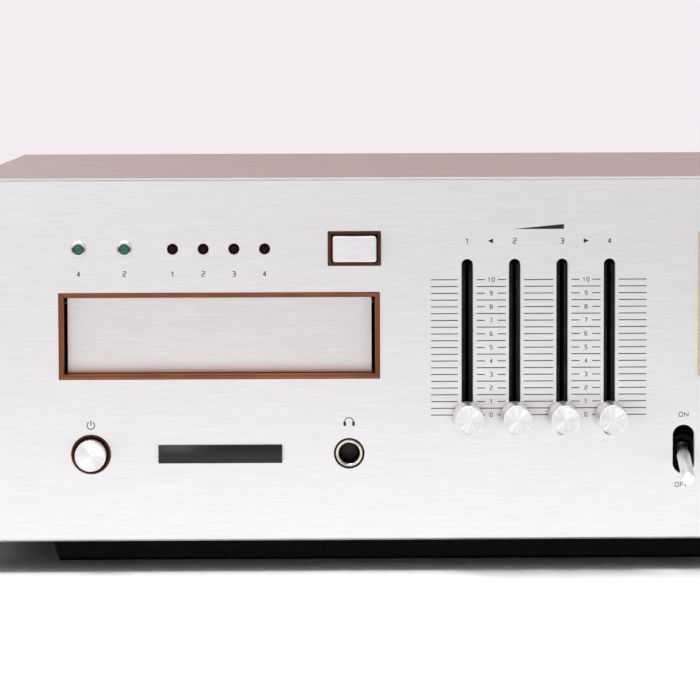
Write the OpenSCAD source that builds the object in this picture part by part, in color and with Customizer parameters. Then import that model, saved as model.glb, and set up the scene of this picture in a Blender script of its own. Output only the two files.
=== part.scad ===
// Eight-track player with a four-channel amplifier and radio tuner in a wooden cabinet.
// The front panel faces -Y, +Z is up and the origin is at the middle of the footprint on the floor.
// Places on the front are given as u from the panel's left edge, v above its lower edge and
// d behind its front face, all in millimetres.

/* [Cabinet] */
// Width of the front panel and of the cabinet
panel_w = 500; // [480:1:540]
// Height of the front panel and of the cabinet
panel_h = 120; // [118:1:140]
// Depth from the panel's front face to the cabinet's back edge
case_d = 275; // [270:1:330]
// Thickness of the aluminium front panel
panel_t = 3; // [2:0.5:4]
// Thickness of the wooden top and sides
wood_t = 12; // [9:0.5:12]
// Thickness of the sheet steel
steel_t = 1.2; // [0.8:0.1:1.6]
// Height of the foot rails under the cabinet
foot_h = 10.5; // [8:0.5:14]
// Distance from the panel's front face to the front foot rail
foot_inset_d = 30; // [20:1:45]
// Distance from the cabinet's side to a foot rail's end at the top
foot_inset_u = 25; // [20:1:40]
// Distance from the cabinet's back edge to the rear panel's outer face
rear_recess = 10; // [9:0.5:14]

/* [Cartridge slot] */
// Middle of the slot along the panel
slot_u = 83.3; // [80:0.1:86]
// Middle of the slot above the panel's lower edge
slot_v = 68; // [67:0.1:70]
// Outer width of the slot's brown frame
slot_w = 105.8; // [105:0.1:108]
// Outer height of the slot's brown frame
slot_h = 28.5; // [28:0.1:30]
// Width of the frame's lip as seen from the front
slot_lip = 1.45; // [1.2:0.05:1.8]
// Distance from the panel's face back to the flap
door_recess = 6; // [4:0.5:8]
// Thickness of the flap
door_t = 1.2; // [0.8:0.1:1.4]
// Length of the guide tunnel behind the frame
guide_l = 76; // [70:1:80]

/* [Tape deck] */
// Radius of the flywheel
flywheel_r = 30; // [26:0.5:31]
// Radius of the capstan shaft
capstan_r = 2.5; // [2:0.1:3]
// Radius of the motor's pulley
pulley_r = 5; // [4:0.5:7]
// Radius of the motor's can
motor_r = 19; // [16:0.5:19]
// Height of the motor's can
motor_h = 42; // [35:1:46]
// Total lift of the tape head over the four programs
head_lift = 1.9; // [1.2:0.1:2.4]
// Radius of the program cam
cam_r = 12; // [11:0.5:12]
// Number of ratchet teeth on the program cam
cam_teeth = 12; // [8:1:16]

/* [Buttons and lamps] */
// Radius of the power button's cap
power_r = 5.1; // [4.5:0.1:5.4]
// Outer radius of the power button's liner
power_liner_r = 6.5; // [6.3:0.1:7.5]
// How far the power button stands out of the panel
power_reach = 6; // [4:0.5:9]
// How far the power button goes in
power_travel = 3.5; // [2:0.5:4]
// Width of the program button's cap
program_w = 14.2; // [13:0.1:14.6]
// Height of the program button's cap
program_h = 8.2; // [7:0.1:8.6]
// Outer width of the program button's liner
program_liner_w = 17.4; // [17:0.1:19]
// Outer height of the program button's liner
program_liner_h = 11.3; // [11:0.1:12.5]
// How far the program button stands out of the panel
program_reach = 7; // [4:0.5:9]
// How far the program button goes in
program_travel = 3; // [2:0.5:4]
// Outer radius of a channel lamp's metal bezel
lamp_bezel_r = 3; // [2.8:0.1:3.5]
// Radius of a channel lamp's lens
channel_lamp_r = 1.65; // [1.4:0.05:1.9]
// Radius of a program lamp's lens
program_lamp_r = 1.75; // [1.4:0.05:2]
// Height of both rows of lamps and of the program button
lamp_v = 96.7; // [94:0.1:99]
// Height of the bottom row of controls
row_v = 28.9; // [28:0.1:32]
// Radius of the headphone jack's bore
jack_bore_r = 3.2; // [3.2:0.05:3.3]

/* [Volume sliders] */
// Place of the first slider along the panel
slider_u = 165.1; // [163:0.1:167]
// Distance between two sliders
slider_pitch = 15.65; // [14.5:0.05:16]
// Travel of a slider
slider_travel = 45; // [40:1:48]
// Height of a slider's zero mark
slider_zero_v = 41.45; // [41:0.05:44]
// Width of a slider's slot in the panel
slider_slot_w = 3.8; // [3:0.05:4]
// Radius of a slider's knob
slider_knob_r = 4.75; // [4:0.05:6]
// Length of a slider's knob
slider_knob_l = 17; // [12:0.5:18]

/* [Loudness switch] */
// Place of the loudness switch along the panel
loudness_u = 236.7; // [233:0.1:238]
// Height of the loudness switch's pivot
loudness_v = 29.8; // [28:0.1:32]
// Length of the lever from its pivot
lever_l = 31.5; // [26:0.5:34]
// Radius of the lever's sleeve
lever_r = 2.2; // [1.8:0.1:2.4]
// Angle of the lever above or below the level
lever_tilt = 12.4; // [8:0.1:13]

/* [Tuner and tone controls] */
// Left edge of the dial window's frame
dial_u = 241.4; // [240:0.1:244]
// Lower edge of the dial window's frame
dial_v = 54.2; // [53:0.1:57]
// Distance from the dial window's frame to the panel's right edge
dial_margin = 58.6; // [57.6:0.2:66]
// Outer height of the dial window's frame
dial_h = 48; // [44:0.5:48]
// Radius of the cord drum on the tuning capacitor
drum_r = 42; // [36:0.5:42]
// Radius of the tuning shaft
tuning_shaft_r = 3; // [3:0.1:3.2]
// Radius of the tuning knob
tuning_knob_r = 20; // [16:0.5:21]
// Length of the tuning knob
tuning_knob_l = 17; // [12:0.5:19]
// Place of the first tone control along the panel
tone_u = 305; // [300:1:310]
// Distance between two tone controls
tone_pitch = 45; // [34:1:46]
// Radius of a tone control's knob
tone_knob_r = 12; // [9:0.5:13]
// Length of a tone control's knob
tone_knob_l = 15; // [11:0.5:17]

/* [Hidden] */
$fn = 48;

// Clearances
fit_gap = 0.1;        // between a fixed piece and the hole that holds it
run_gap = 0.05;       // round a turning shaft, on the radius
slide_gap = 0.3;      // between a moving piece and what it passes
over = 1;             // how far a cutting tool runs past a face

// Front of the cabinet
lever_pivot_d = 6;
knob_gap = 2;         // between a knob's back and the panel
lever_edge = 0.4;     // bevel at the lever's end
lever_reach = lever_l * cos(lever_tilt) + (lever_r - lever_edge) * sin(lever_tilt) - lever_pivot_d;
slider_reach = knob_gap + slider_knob_l;
tuning_reach = knob_gap + tuning_knob_l;
tone_reach = knob_gap + tone_knob_l;
front_reach = max(lever_reach, slider_reach, tuning_reach, tone_reach, power_reach, program_reach);
face_y = front_reach - (case_d + front_reach) / 2;
side_in = wood_t;                         // inner face of the left side, from the panel's left edge
top_in = panel_h - wood_t;                // underside of the top
panel_bevel = 0.6;
screw_head_r = 3.5;
screw_head_h = 2;
screw_r = 1.75;
screw_l = 14;
screw_d = [45, 140, 235];

// Plate behind the front panel, which carries the controls
sub_d = 9;
sub_back = sub_d + steel_t;
sub_top = 104;
sub_flange = 11;
sub_side_gap = 1;     // between the plate and the cabinet's sides
sub_left = side_in + sub_side_gap;
sub_right = panel_w - side_in - sub_side_gap;
post_r = 3;
post_inset = 19;      // the outer posts, from the panel's sides
post_low = 12;
post_high = sub_top - 4.5;
tray_lip = 8;

// Cartridge slot
slot_in_w = slot_w - 2 * slot_lip;
slot_in_h = slot_h - 2 * slot_lip;
slot_in_low = slot_v - slot_in_h / 2;
slot_in_top = slot_v + slot_in_h / 2;
bezel_proud = 0.5;
bezel_back = 16;
flange_w = 1.5;
corner_r = 0.3;
cap_corner_r = 0.8;
hinge_r = 1.5;
hinge_pin_r = 1;
hinge_d = door_recess + hinge_r;
hinge_v = slot_in_top - hinge_r - 0.4;
door_side_gap = 1.15;
door_low_gap = 0.3;
door_w = slot_in_w - 2 * door_side_gap;
pin_seat = 1;         // how far the hinge pin goes into the frame's wall

// Tape deck
guide_back = bezel_back + guide_l;
guide_low = slot_in_low - steel_t;
deck_t = 1.6;
deck_top = guide_low;
deck_low = deck_top - deck_t;
deck_u0 = 18;
deck_u1 = 146;
deck_d0 = 20;
deck_d1 = 172;
leg_r = 4;
leg_inset = 6;
capstan_u = 50;
capstan_d = guide_back - 3;
capstan_top_v = 76;
bearing_r = 4.5;
bearing_low = deck_low - 3;
bearing_top = deck_top + 5;
disc_top = bearing_low - 1.5;
disc_h = 11;
disc_low = disc_top - disc_h;
strap_top = disc_low - 6;
strap_w = 10;
strap_t = 1.6;
strap_gap = 4;        // between the flywheel's rim and the strap's legs
motor_u = 112;
motor_shaft_r = 1.5;
belt_t = 0.8;
belt_h = 5;
belt_gap = 0.3;
belt_low = disc_low + 3;
carriage_d = guide_back + 12;
motor_d = carriage_d + 41;
motor_bore_l = 15;
belt_angle = atan2(motor_d - capstan_d, motor_u - capstan_u);
notch_w = 14;
notch_l = 12;
guide_window_w = 60;
guide_window_front = 34;
guide_window_back = 8;
carriage_u0 = 74;
carriage_u1 = 104;
carriage_depth = 10;
carriage_h = 12;
post_u = [79, 98];
carriage_post_r = 2;
cam_u = 122;
cam_pin_r = 1.5;
cam_boss = 1.4;
cam_disc_h = 3;
cam_low = deck_top + cam_boss + 0.1;
cam_top = cam_low + cam_disc_h;
cam_ring_r = 8;
cam_late = 12;        // how late each step starts, in degrees
cam_end = 169;        // where the lowest step ends, in degrees before zero
follower_gap = 0.2;
carriage_low = cam_top + follower_gap;
solenoid_u = 139;
solenoid_v = deck_top + 7;
solenoid_d0 = carriage_d + 18;
solenoid_l = 22;
solenoid_w = 12;
yoke_t = 1.5;
plunger_r = 2.5;
plunger_travel = 5;
plunger_out = 14;
plunger_in = 10;
plunger_stop = 0.5;

// Buttons, lamps and jack
power_u = 40.7;
program_u = 127.9;
button_liner_lip = 1.1;
button_liner_back = sub_d - 0.2;
cap_back = 3;
stem_r = 2;
stem_in = 12;
stop_gap = 0.5;
switch_l = 22;
power_switch_w = 14;
program_switch_w = 9;
channel_lamps_u = [37.1, 52.2];
program_lamps_u = [68.05, 78.15, 88.25, 98.35];
lamp_back = 14;
lamp_proud = 0.7;
jack_u = 126;
jack_ring_r = 4.55;
jack_hole_r = 5.1;
jack_body_l = 24;
jack_bore_l = 30;
badge_u = 83.4;
badge_w = 40.9;
badge_h = 6.1;
badge_t = 0.8;

// Volume sliders
slider_us = [for (i = [0:3]) slider_u + i * slider_pitch];
post_places = [[post_inset, post_low], [post_inset, post_high],
    [slider_u - 16.9, post_low], [slider_u - 16.9, post_high], [slider_us[3] + 14.15, post_high],
    [panel_w - post_inset, post_low], [panel_w - post_inset, post_high]];
slider_end_gap = 6.65;
slider_slot_low = slider_zero_v - slider_end_gap;
slider_slot_top = slider_zero_v + slider_travel + slider_end_gap;
pot_w = 11;
pot_depth = 10;
pot_end = 9;
lever_blade_w = 1.2;
lever_blade_h = 4;
shoe_w = 2.6;
shoe_h = 6;
shoe_d = 3;

// Loudness switch
toggle_slot_w = 7.2;
toggle_slot_l = 16.2;
ball_r = 2.8;
bushing_bore_r = ball_r + slide_gap;
bushing_r = 4.6;
neck_r = 1.5;
sleeve_start = 8;
pivot_pin_r = 1;
toggle_body_w = 13;
toggle_body_h = 20;
toggle_body_l = 16;
pivot_pin_l = 2 * bushing_r - 0.8;
bushing_front = panel_t + 0.5;

// Tuner
dial_w = panel_w - dial_u - dial_margin;
dial_lip = 2;
dial_sleeve = 6;
dial_proud = 1.2;
dial_cx = dial_u + dial_w / 2;
dial_cv = dial_v + dial_h / 2;
glass_t = 2;
scale_margin = 5;
rail_v = dial_v + dial_h + 1.2;
rail_front = 4.6;
pointer_w = 0.8;
pointer_t = 0.6;
rider_w = 8;
pointer_travel = PI * drum_r;             // half a turn of the drum
pointer_u0 = dial_cx - pointer_travel / 2;
pointer_d = 6.6;
tuning_inset = 30;
tuning_u = panel_w - tuning_inset;
tuning_v = 79;
tuning_wheel_r = 16.5;
tuning_wheel_l = 10;
drum_u = dial_cx + 18.6;
drum_v = 56;
drum_d = 27;
drum_t = 6;
drum_rim = 1.2;
drum_groove = 1.5;
drum_hub_r = 7;
drum_hub_l = 4;
drum_hole_r = 7;
drum_shaft_r = 3;
capacitor_d = 40;
capacitor_w = 44;
capacitor_h = 38;
capacitor_l = 40;
capacitor_leg = 3;
shaft_end = capacitor_d + 11;
tone_us = [for (i = [0:2]) tone_u + i * tone_pitch];
tone_shaft_r = 3;
tone_body_r = 11;
tone_body_l = 13;
control_bushing_r = 4.8;
control_bushing_front = 4;

// Rear
rear_out = case_d - rear_recess;
rear_in = rear_out - steel_t;
rear_gap = 0.5;
vent_w = 3;
vent_pitch = 9;
rear_vent_u = 60;
rear_vent_v = 84;
rear_vent_l = 16;
rear_vent_count = 12;
strip_t = 3;
strip_boss = 4;
strip_r = 1.5;
terminal_r = 3.4;
terminal_h = 4;
terminal_slot = 1;
speaker_u = 115;
speaker_v = 45;
speaker_l = 120;
speaker_h = 24;
antenna_u = panel_w - 155;
antenna_v = 75;
antenna_l = 72;
antenna_h = 14;
plug_in = 3;          // how far a strip's body reaches in through the rear panel
plug_gap = 0.2;
rca_u = 235;
rca_v = 48;
rca_w = 72;
rca_h = 34;
rca_t = 1.5;
rca_pitch_u = 17;
rca_pitch_v = 16;
rca_shell_r = 4.2;
rca_shell_l = 7.5;
rca_bore_r = 1.65;
cord_u = panel_w - 55;
cord_v = 25;
cord_hole_r = 7;
cord_bore_r = 3.5;
cord_lip = 1.8;

// Foot rails
foot_w = 34;
foot_taper = 3;
foot_bevel = 1;

// Inside
vent_l = 60;
vent_count = 9;
vent_d = 130;
board_u0 = 165;
board_u1 = 298;
board_d0 = 60;
board_d1 = 248;
board_low = 8;
board_t = 1.6;
board_top = board_low + board_t;
board_inset = 8;
tank_r = 8;
tank_h = 28;
tank_pitch = 20;
small_r = 4;
small_h = 12;
small_pitch = 18;
stage_l = 20;
stage_w = 7;
stage_h = 4;
stage_pitch = 28;
tank_back = 30;       // from the board's back edge to the row of large capacitors
small_rows = [30, 80]; // from its front edge to the rows of small ones
stage_row = 95;       // and to the output stages
stage_first = 14;     // from its side to the first output stage
small_first = 16;
tank_first = 20;
core_u = panel_w - 96;
core_w = 62;
core_d = 165;
core_t = 32;
core_top = 54;
winding_t = 13;
winding_inset = 12;
ear_l = 8;
ear_t = 2;
sink_u = panel_w - 192;
sink_w = 80;
sink_depth = 32;
sink_d = rear_in - 9.8 - sink_depth;
sink_base = 4;
sink_top = 61;
fin_t = 1.6;
fin_count = 10;

// Puts children at u along the panel, d behind its face and v above its lower edge.
module at(u, d, v) {
    translate([u - panel_w / 2, face_y + d, foot_h + v]) children();
}

// A plate from corner to corner in u, d and v.
module block(u0, u1, d0, d1, v0, v1) {
    at(u0, d0, v0) cube([u1 - u0, d1 - d0, v1 - v0]);
}

// A rod along the depth from d0 to d1.
module rod(u, v, r, d0, d1) {
    at(u, d0, v) rotate([-90, 0, 0]) cylinder(r = r, h = d1 - d0);
}

// A solid of revolution about the depth axis: the outline is [radius, depth].
module turned(u, v, outline) {
    at(u, 0, v) rotate([-90, 0, 0]) rotate_extrude() polygon(outline);
}

// An upright rod from v0 to v1.
module post(u, d, r, v0, v1) {
    at(u, d, v0) cylinder(r = r, h = v1 - v0);
}

// A flat outline in the plane of the panel, pushed back from d0 to d1.
module pushed(u, v, d0, d1) {
    at(u, d1, v) rotate([90, 0, 0]) linear_extrude(d1 - d0) children();
}

// A rectangle with rounded corners, centred, made of exact arcs.
module round_rect(w, h, r) {
    square([w - 2 * r, h], center = true);
    square([w, h - 2 * r], center = true);
    for (x = [-1, 1], y = [-1, 1]) {
        translate([x * (w / 2 - r), y * (h / 2 - r)]) circle(r);
    }
}

// A slot with round ends, standing upright, from y0 to y1.
module stadium(w, y0, y1) {
    translate([-w / 2, y0 + w / 2]) square([w, y1 - y0 - w]);
    translate([0, y0 + w / 2]) circle(w / 2);
    translate([0, y1 - w / 2]) circle(w / 2);
}

// A sector from angle a0 to a1.
module wedge(a0, a1, r) {
    polygon(concat([[0, 0]], [for (k = [0:8]) let (a = a0 + (a1 - a0) * k / 8) [r * cos(a), r * sin(a)]]));
}

// A fluted outline with n ridges.
module fluted(r, depth, n) {
    polygon([for (i = [0:2 * n - 1])
        let (a = i * 180 / n, q = i % 2 == 0 ? r : r - depth)
        [q * cos(a), q * sin(a)]]);
}

module cabinet_top() {
    color("rosybrown") at(0, case_d, 0) rotate([90, 0, 0]) linear_extrude(case_d - panel_t)
        polygon([[0, panel_h], [panel_w, panel_h], [panel_w - wood_t, top_in], [wood_t, top_in]]);
}

// One side, mitred to the top, with the holes for the screws from below.
module cabinet_side() {
    difference() {
        at(0, case_d, 0) rotate([90, 0, 0]) linear_extrude(case_d - panel_t)
            polygon([[0, steel_t], [0, panel_h], [wood_t, top_in], [wood_t, steel_t]]);
        for (d = screw_d) {
            post(wood_t / 2, d, screw_r + run_gap, steel_t - over, steel_t + screw_l);
        }
    }
}

module cabinet_side_left() {
    color("rosybrown") cabinet_side();
}

module cabinet_side_right() {
    color("rosybrown") mirror([1, 0, 0]) cabinet_side();
}

module cabinet_screws() {
    color("dimgray") for (u = [wood_t / 2, panel_w - wood_t / 2], d = screw_d) {
        post(u, d, screw_head_r, -screw_head_h, 0);
        post(u, d, screw_r, 0, screw_l);
    }
}

module front_panel() {
    color("gainsboro") difference() {
        at(0, 0, 0) rotate([90, 0, 90]) linear_extrude(panel_w)
            polygon([[panel_bevel, 0], [panel_t, 0], [panel_t, panel_h], [panel_bevel, panel_h],
                [0, panel_h - panel_bevel], [0, panel_bevel]]);
        pushed(slot_u, slot_v, -over, panel_t + over)
            round_rect(slot_w + 2 * fit_gap, slot_h + 2 * fit_gap, corner_r);
        pushed(program_u, lamp_v, -over, panel_t + over)
            round_rect(program_liner_w + 2 * fit_gap, program_liner_h + 2 * fit_gap, corner_r);
        rod(power_u, row_v, power_liner_r + fit_gap, -over, panel_t + over);
        for (u = channel_lamps_u) {
            rod(u, lamp_v, channel_lamp_r + 0.75 + fit_gap, -over, panel_t + over);
        }
        for (u = program_lamps_u) {
            rod(u, lamp_v, program_lamp_r + fit_gap, -over, panel_t + over);
        }
        rod(jack_u, row_v, jack_hole_r, -over, panel_t + over);
        for (u = slider_us) {
            pushed(u, 0, -over, panel_t + over) stadium(slider_slot_w, slider_slot_low, slider_slot_top);
        }
        pushed(loudness_u, loudness_v, -over, panel_t + over)
            stadium(toggle_slot_w, -toggle_slot_l / 2, toggle_slot_l / 2);
        pushed(dial_cx, dial_cv, -over, panel_t + over)
            round_rect(dial_w - 2 * dial_lip + 2 * fit_gap, dial_h - 2 * dial_lip + 2 * fit_gap, corner_r);
        for (u = tone_us) {
            rod(u, row_v, control_bushing_r + slide_gap, -over, panel_t + over);
        }
        rod(tuning_u, tuning_v, control_bushing_r + slide_gap, -over, panel_t + over);
    }
}

// Steel plate with a foot flange and spacer posts that carry the front panel.
module front_subchassis() {
    color("dimgray") {
        difference() {
            union() {
                block(sub_left, sub_right, sub_d, sub_back, steel_t, sub_top);
                block(sub_left, sub_right, sub_d, sub_back + sub_flange, steel_t, 2 * steel_t);
                for (p = post_places) {
                    rod(p[0], p[1], post_r, panel_t, sub_d);
                }
            }
            pushed(slot_u, slot_v, sub_d - over, sub_back + over)
                square([slot_w + 1, slot_h + 1], center = true);
            pushed(dial_cx, dial_v + sub_top / 2, sub_d - over, sub_back + over)
                square([dial_w, sub_top], center = true);
            rod(power_u, row_v, stem_r + 1, sub_d - over, sub_back + over);
            rod(program_u, lamp_v, stem_r + 1, sub_d - over, sub_back + over);
            for (u = channel_lamps_u) {
                rod(u, lamp_v, channel_lamp_r + 1, sub_d - over, sub_back + over);
            }
            for (u = program_lamps_u) {
                rod(u, lamp_v, program_lamp_r + 1, sub_d - over, sub_back + over);
            }
            rod(jack_u, row_v, jack_ring_r + fit_gap, sub_d - over, sub_back + over);
            for (u = slider_us) {
                pushed(u, 0, sub_d - over, sub_back + over)
                    stadium(lever_blade_h, slider_slot_low, slider_slot_top);
            }
            rod(loudness_u, loudness_v, bushing_r + fit_gap, sub_d - over, sub_back + over);
            for (u = tone_us) {
                rod(u, row_v, control_bushing_r + fit_gap, sub_d - over, sub_back + over);
            }
            rod(tuning_u, tuning_v, control_bushing_r + fit_gap, sub_d - over, sub_back + over);
        }
    }
}

// Bottom plate with a front lip, vents and four stand-offs for the circuit board.
module base_tray() {
    color("dimgray") difference() {
        union() {
            block(sub_side_gap, panel_w - sub_side_gap, panel_t, case_d, 0, steel_t);
            block(sub_left, sub_right, panel_t, panel_t + steel_t, steel_t, tray_lip);
            for (u = [board_u0 + board_inset, board_u1 - board_inset],
                    d = [board_d0 + board_inset, board_d1 - board_inset]) {
                post(u, d, post_r, steel_t, board_low);
            }
        }
        for (u0 = [board_u0 + 30, board_u1 + 15], i = [0:vent_count - 1]) {
            at(u0 + i * vent_pitch, vent_d, -over) linear_extrude(steel_t + 2 * over)
                stadium(vent_w, 0, vent_l);
        }
        for (u = [wood_t / 2, panel_w - wood_t / 2], d = screw_d) {
            post(u, d, screw_r + run_gap, -over, steel_t + over);
        }
    }
}

// A painted rail with sloping ends and bevelled lower edges, standing on the floor.
module foot_rail(d) {
    rail_l = panel_w - 2 * foot_inset_u;
    intersection() {
        at(foot_inset_u, d + foot_w, -foot_h) rotate([90, 0, 0]) linear_extrude(foot_w)
            polygon([[foot_taper, 0], [rail_l - foot_taper, 0], [rail_l, foot_h], [0, foot_h]]);
        at(foot_inset_u - over, d, -foot_h) rotate([90, 0, 90]) linear_extrude(rail_l + 2 * over)
            polygon([[foot_bevel, 0], [foot_w - foot_bevel, 0], [foot_w, foot_bevel],
                [foot_w, foot_h + over], [0, foot_h + over], [0, foot_bevel]]);
    }
}

module foot_rail_front() {
    color("black") foot_rail(foot_inset_d);
}

module foot_rail_rear() {
    color("black") foot_rail(case_d - foot_inset_d - foot_w);
}

module rear_panel() {
    color("dimgray") difference() {
        block(side_in + rear_gap, panel_w - side_in - rear_gap, rear_in, rear_out,
            steel_t, top_in - rear_gap);
        pushed(speaker_u, speaker_v, rear_in - over, rear_out + over)
            square([speaker_l - 2 * strip_boss, speaker_h - 2 * strip_boss], center = true);
        pushed(antenna_u, antenna_v, rear_in - over, rear_out + over)
            square([antenna_l - 2 * strip_boss, antenna_h - 2 * strip_boss], center = true);
        pushed(rca_u, rca_v, rear_in - over, rear_out + over)
            square([rca_w - 2 * strip_boss, rca_h - 2 * strip_boss], center = true);
        rod(cord_u, cord_v, cord_hole_r, rear_in - over, rear_out + over);
        for (i = [0:rear_vent_count - 1]) {
            pushed(rear_vent_u + i * vent_pitch, rear_vent_v, rear_in - over, rear_out + over)
                stadium(vent_w, 0, rear_vent_l);
        }
    }
}

// Brown frame of the cartridge slot, with a flange behind the panel and seats for the hinge pin.
module slot_bezel() {
    color("sienna") difference() {
        union() {
            pushed(slot_u, slot_v, -bezel_proud, bezel_back) round_rect(slot_w, slot_h, corner_r);
            pushed(slot_u, slot_v, panel_t, panel_t + steel_t)
                round_rect(slot_w + 2 * flange_w, slot_h + 2 * flange_w, corner_r);
        }
        pushed(slot_u, slot_v, -bezel_proud - over, bezel_back + over)
            round_rect(slot_in_w, slot_in_h, corner_r / 2);
        at(slot_u - slot_in_w / 2 - pin_seat, hinge_d, hinge_v) rotate([0, 90, 0])
            cylinder(r = hinge_pin_r, h = slot_in_w + 2 * pin_seat);
    }
}

// Flap with a rolled sleeve for the hinge pin behind its upper edge.
module cartridge_door() {
    door_low = slot_in_low + door_low_gap;
    color("silver") at(slot_u - door_w / 2, hinge_d, hinge_v) rotate([90, 0, 90])
        linear_extrude(door_w) difference() {
            union() {
                translate([-hinge_r, door_low - hinge_v]) square([door_t, hinge_v + hinge_r - door_low]);
                circle(hinge_r);
            }
            circle(hinge_pin_r + run_gap);
        }
}

module door_hinge_pin() {
    color("silver") at(slot_u - slot_in_w / 2 - pin_seat, hinge_d, hinge_v) rotate([0, 90, 0])
        cylinder(r = hinge_pin_r, h = slot_in_w + 2 * pin_seat);
}

// Folded steel tunnel that takes the cartridge, with a notch for the capstan.
module cartridge_guide() {
    color("gray") difference() {
        block(slot_u - slot_in_w / 2 - steel_t, slot_u + slot_in_w / 2 + steel_t,
            bezel_back, guide_back, guide_low, slot_in_top + steel_t);
        block(slot_u - slot_in_w / 2, slot_u + slot_in_w / 2,
            bezel_back - over, guide_back + over, slot_in_low, slot_in_top);
        block(capstan_u - notch_w / 2, capstan_u + notch_w / 2,
            guide_back - notch_l, guide_back + over, guide_low - over, slot_in_low + over);
        block(slot_u - guide_window_w / 2, slot_u + guide_window_w / 2, bezel_back + guide_window_front,
            guide_back - guide_window_back, slot_in_top - over, slot_in_top + steel_t + over);
    }
}

// Steel deck plate on four legs, with the flywheel's strap, the head's posts and the cam's pin.
module deck_chassis() {
    strap_in = flywheel_r + strap_gap;
    strap_out = strap_in + strap_t;
    color("lightsteelblue") difference() {
        union() {
            block(deck_u0, deck_u1, deck_d0, deck_d1, deck_low, deck_top);
            for (u = [deck_u0 + leg_inset, deck_u1 - leg_inset],
                    d = [deck_d0 + leg_inset, deck_d1 - leg_inset]) {
                post(u, d, leg_r, steel_t, deck_low);
            }
            at(capstan_u, capstan_d, strap_top - strap_t) rotate([0, 0, belt_angle]) {
                for (x = [-strap_out, strap_in]) {
                    translate([x, -strap_w / 2, 0])
                        cube([strap_t, strap_w, deck_top - strap_top + strap_t]);
                }
                translate([-strap_out, -strap_w / 2, 0]) cube([2 * strap_out, strap_w, strap_t]);
            }
            for (u = post_u) {
                post(u, carriage_d, carriage_post_r, deck_top, carriage_low + carriage_h + head_lift + 4);
            }
            post(cam_u, carriage_d, cam_pin_r + 2, deck_top, deck_top + cam_boss);
            post(cam_u, carriage_d, cam_pin_r, deck_top, cam_top + 5);
        }
        post(capstan_u, capstan_d, bearing_r, deck_low - over, deck_top + over);
        post(motor_u, motor_d, pulley_r + 1, deck_low - over, deck_top + over);
    }
}

// Flywheel with a raised rim and hub, on the capstan shaft.
module capstan_flywheel() {
    web = 3;
    hub_r = 8;
    color("silver") at(capstan_u, capstan_d, 0) rotate_extrude() polygon([
        [0, strap_top + fit_gap], [capstan_r, strap_top + fit_gap], [capstan_r, disc_low],
        [hub_r, disc_low], [hub_r, disc_low + web], [flywheel_r - 6, disc_low + web],
        [flywheel_r - 5, disc_low], [flywheel_r, disc_low], [flywheel_r, disc_top],
        [flywheel_r - 5, disc_top], [flywheel_r - 6, disc_top - web], [hub_r, disc_top - web],
        [hub_r, disc_top], [capstan_r, disc_top], [capstan_r, capstan_top_v - 0.5],
        [capstan_r - 0.5, capstan_top_v], [0, capstan_top_v]]);
}

module capstan_bearing() {
    color("goldenrod") at(capstan_u, capstan_d, 0) rotate_extrude() polygon([
        [capstan_r + run_gap, bearing_low], [bearing_r, bearing_low], [bearing_r, deck_top],
        [bearing_r + 1.5, deck_top], [bearing_r + 1.5, deck_top + 1.5], [bearing_r, deck_top + 1.5],
        [bearing_r, bearing_top], [capstan_r + run_gap, bearing_top]]);
}

module drive_motor() {
    color("silver") at(motor_u, motor_d, 0) rotate_extrude() polygon([
        [motor_shaft_r + run_gap, deck_top], [motor_r, deck_top], [motor_r, deck_top + motor_h - 2],
        [motor_r - 2, deck_top + motor_h], [4, deck_top + motor_h], [4, deck_top + motor_h - 1],
        [0, deck_top + motor_h - 1], [0, deck_top + motor_bore_l],
        [motor_shaft_r + run_gap, deck_top + motor_bore_l]]);
}

// Pulley with two flanges, on the motor's shaft.
module motor_pulley() {
    low = belt_low - 1.5;
    top = belt_low + belt_h + 1.5;
    color("goldenrod") at(motor_u, motor_d, 0) rotate_extrude() polygon([
        [0, low], [pulley_r + 0.9, low], [pulley_r + 0.9, low + 1], [pulley_r, low + 1],
        [pulley_r, top - 1], [pulley_r + 0.9, top - 1], [pulley_r + 0.9, top], [motor_shaft_r, top],
        [motor_shaft_r, deck_top + motor_bore_l - 1], [0, deck_top + motor_bore_l - 1]]);
}

// Flat belt round the flywheel's rim and the pulley.
module drive_belt() {
    color("black") at(0, 0, belt_low) linear_extrude(belt_h) difference() {
        hull() {
            translate([capstan_u, capstan_d]) circle(flywheel_r + belt_gap + belt_t);
            translate([motor_u, motor_d]) circle(pulley_r + belt_gap + belt_t);
        }
        hull() {
            translate([capstan_u, capstan_d]) circle(flywheel_r + belt_gap);
            translate([motor_u, motor_d]) circle(pulley_r + belt_gap);
        }
    }
}

// Carriage on two posts, with a follower arm that rests on the cam's steps.
module head_carriage() {
    arm_end = cam_u - cam_ring_r - 1;
    color("white") difference() {
        union() {
            block(carriage_u0, carriage_u1, carriage_d - carriage_depth / 2,
                carriage_d + carriage_depth / 2, carriage_low, carriage_low + carriage_h);
            block(carriage_u1 - 2, arm_end, carriage_d - 1.5, carriage_d + 1.5,
                carriage_low, carriage_low + 3);
        }
        for (u = post_u) {
            post(u, carriage_d, carriage_post_r + run_gap,
                carriage_low - over, carriage_low + carriage_h + over);
        }
    }
}

// Magnetic head with its rounded face towards the tape.
module tape_head() {
    head_w = 12;
    head_h = 9;
    head_l = 6;
    front = carriage_d - carriage_depth / 2 - head_l;
    color("silver") intersection() {
        block(slot_u - head_w / 2, slot_u + head_w / 2, front, carriage_d - carriage_depth / 2,
            carriage_low + 1.5, carriage_low + 1.5 + head_h);
        post(slot_u, front + head_w, head_w, carriage_low, carriage_low + carriage_h);
    }
}

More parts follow.
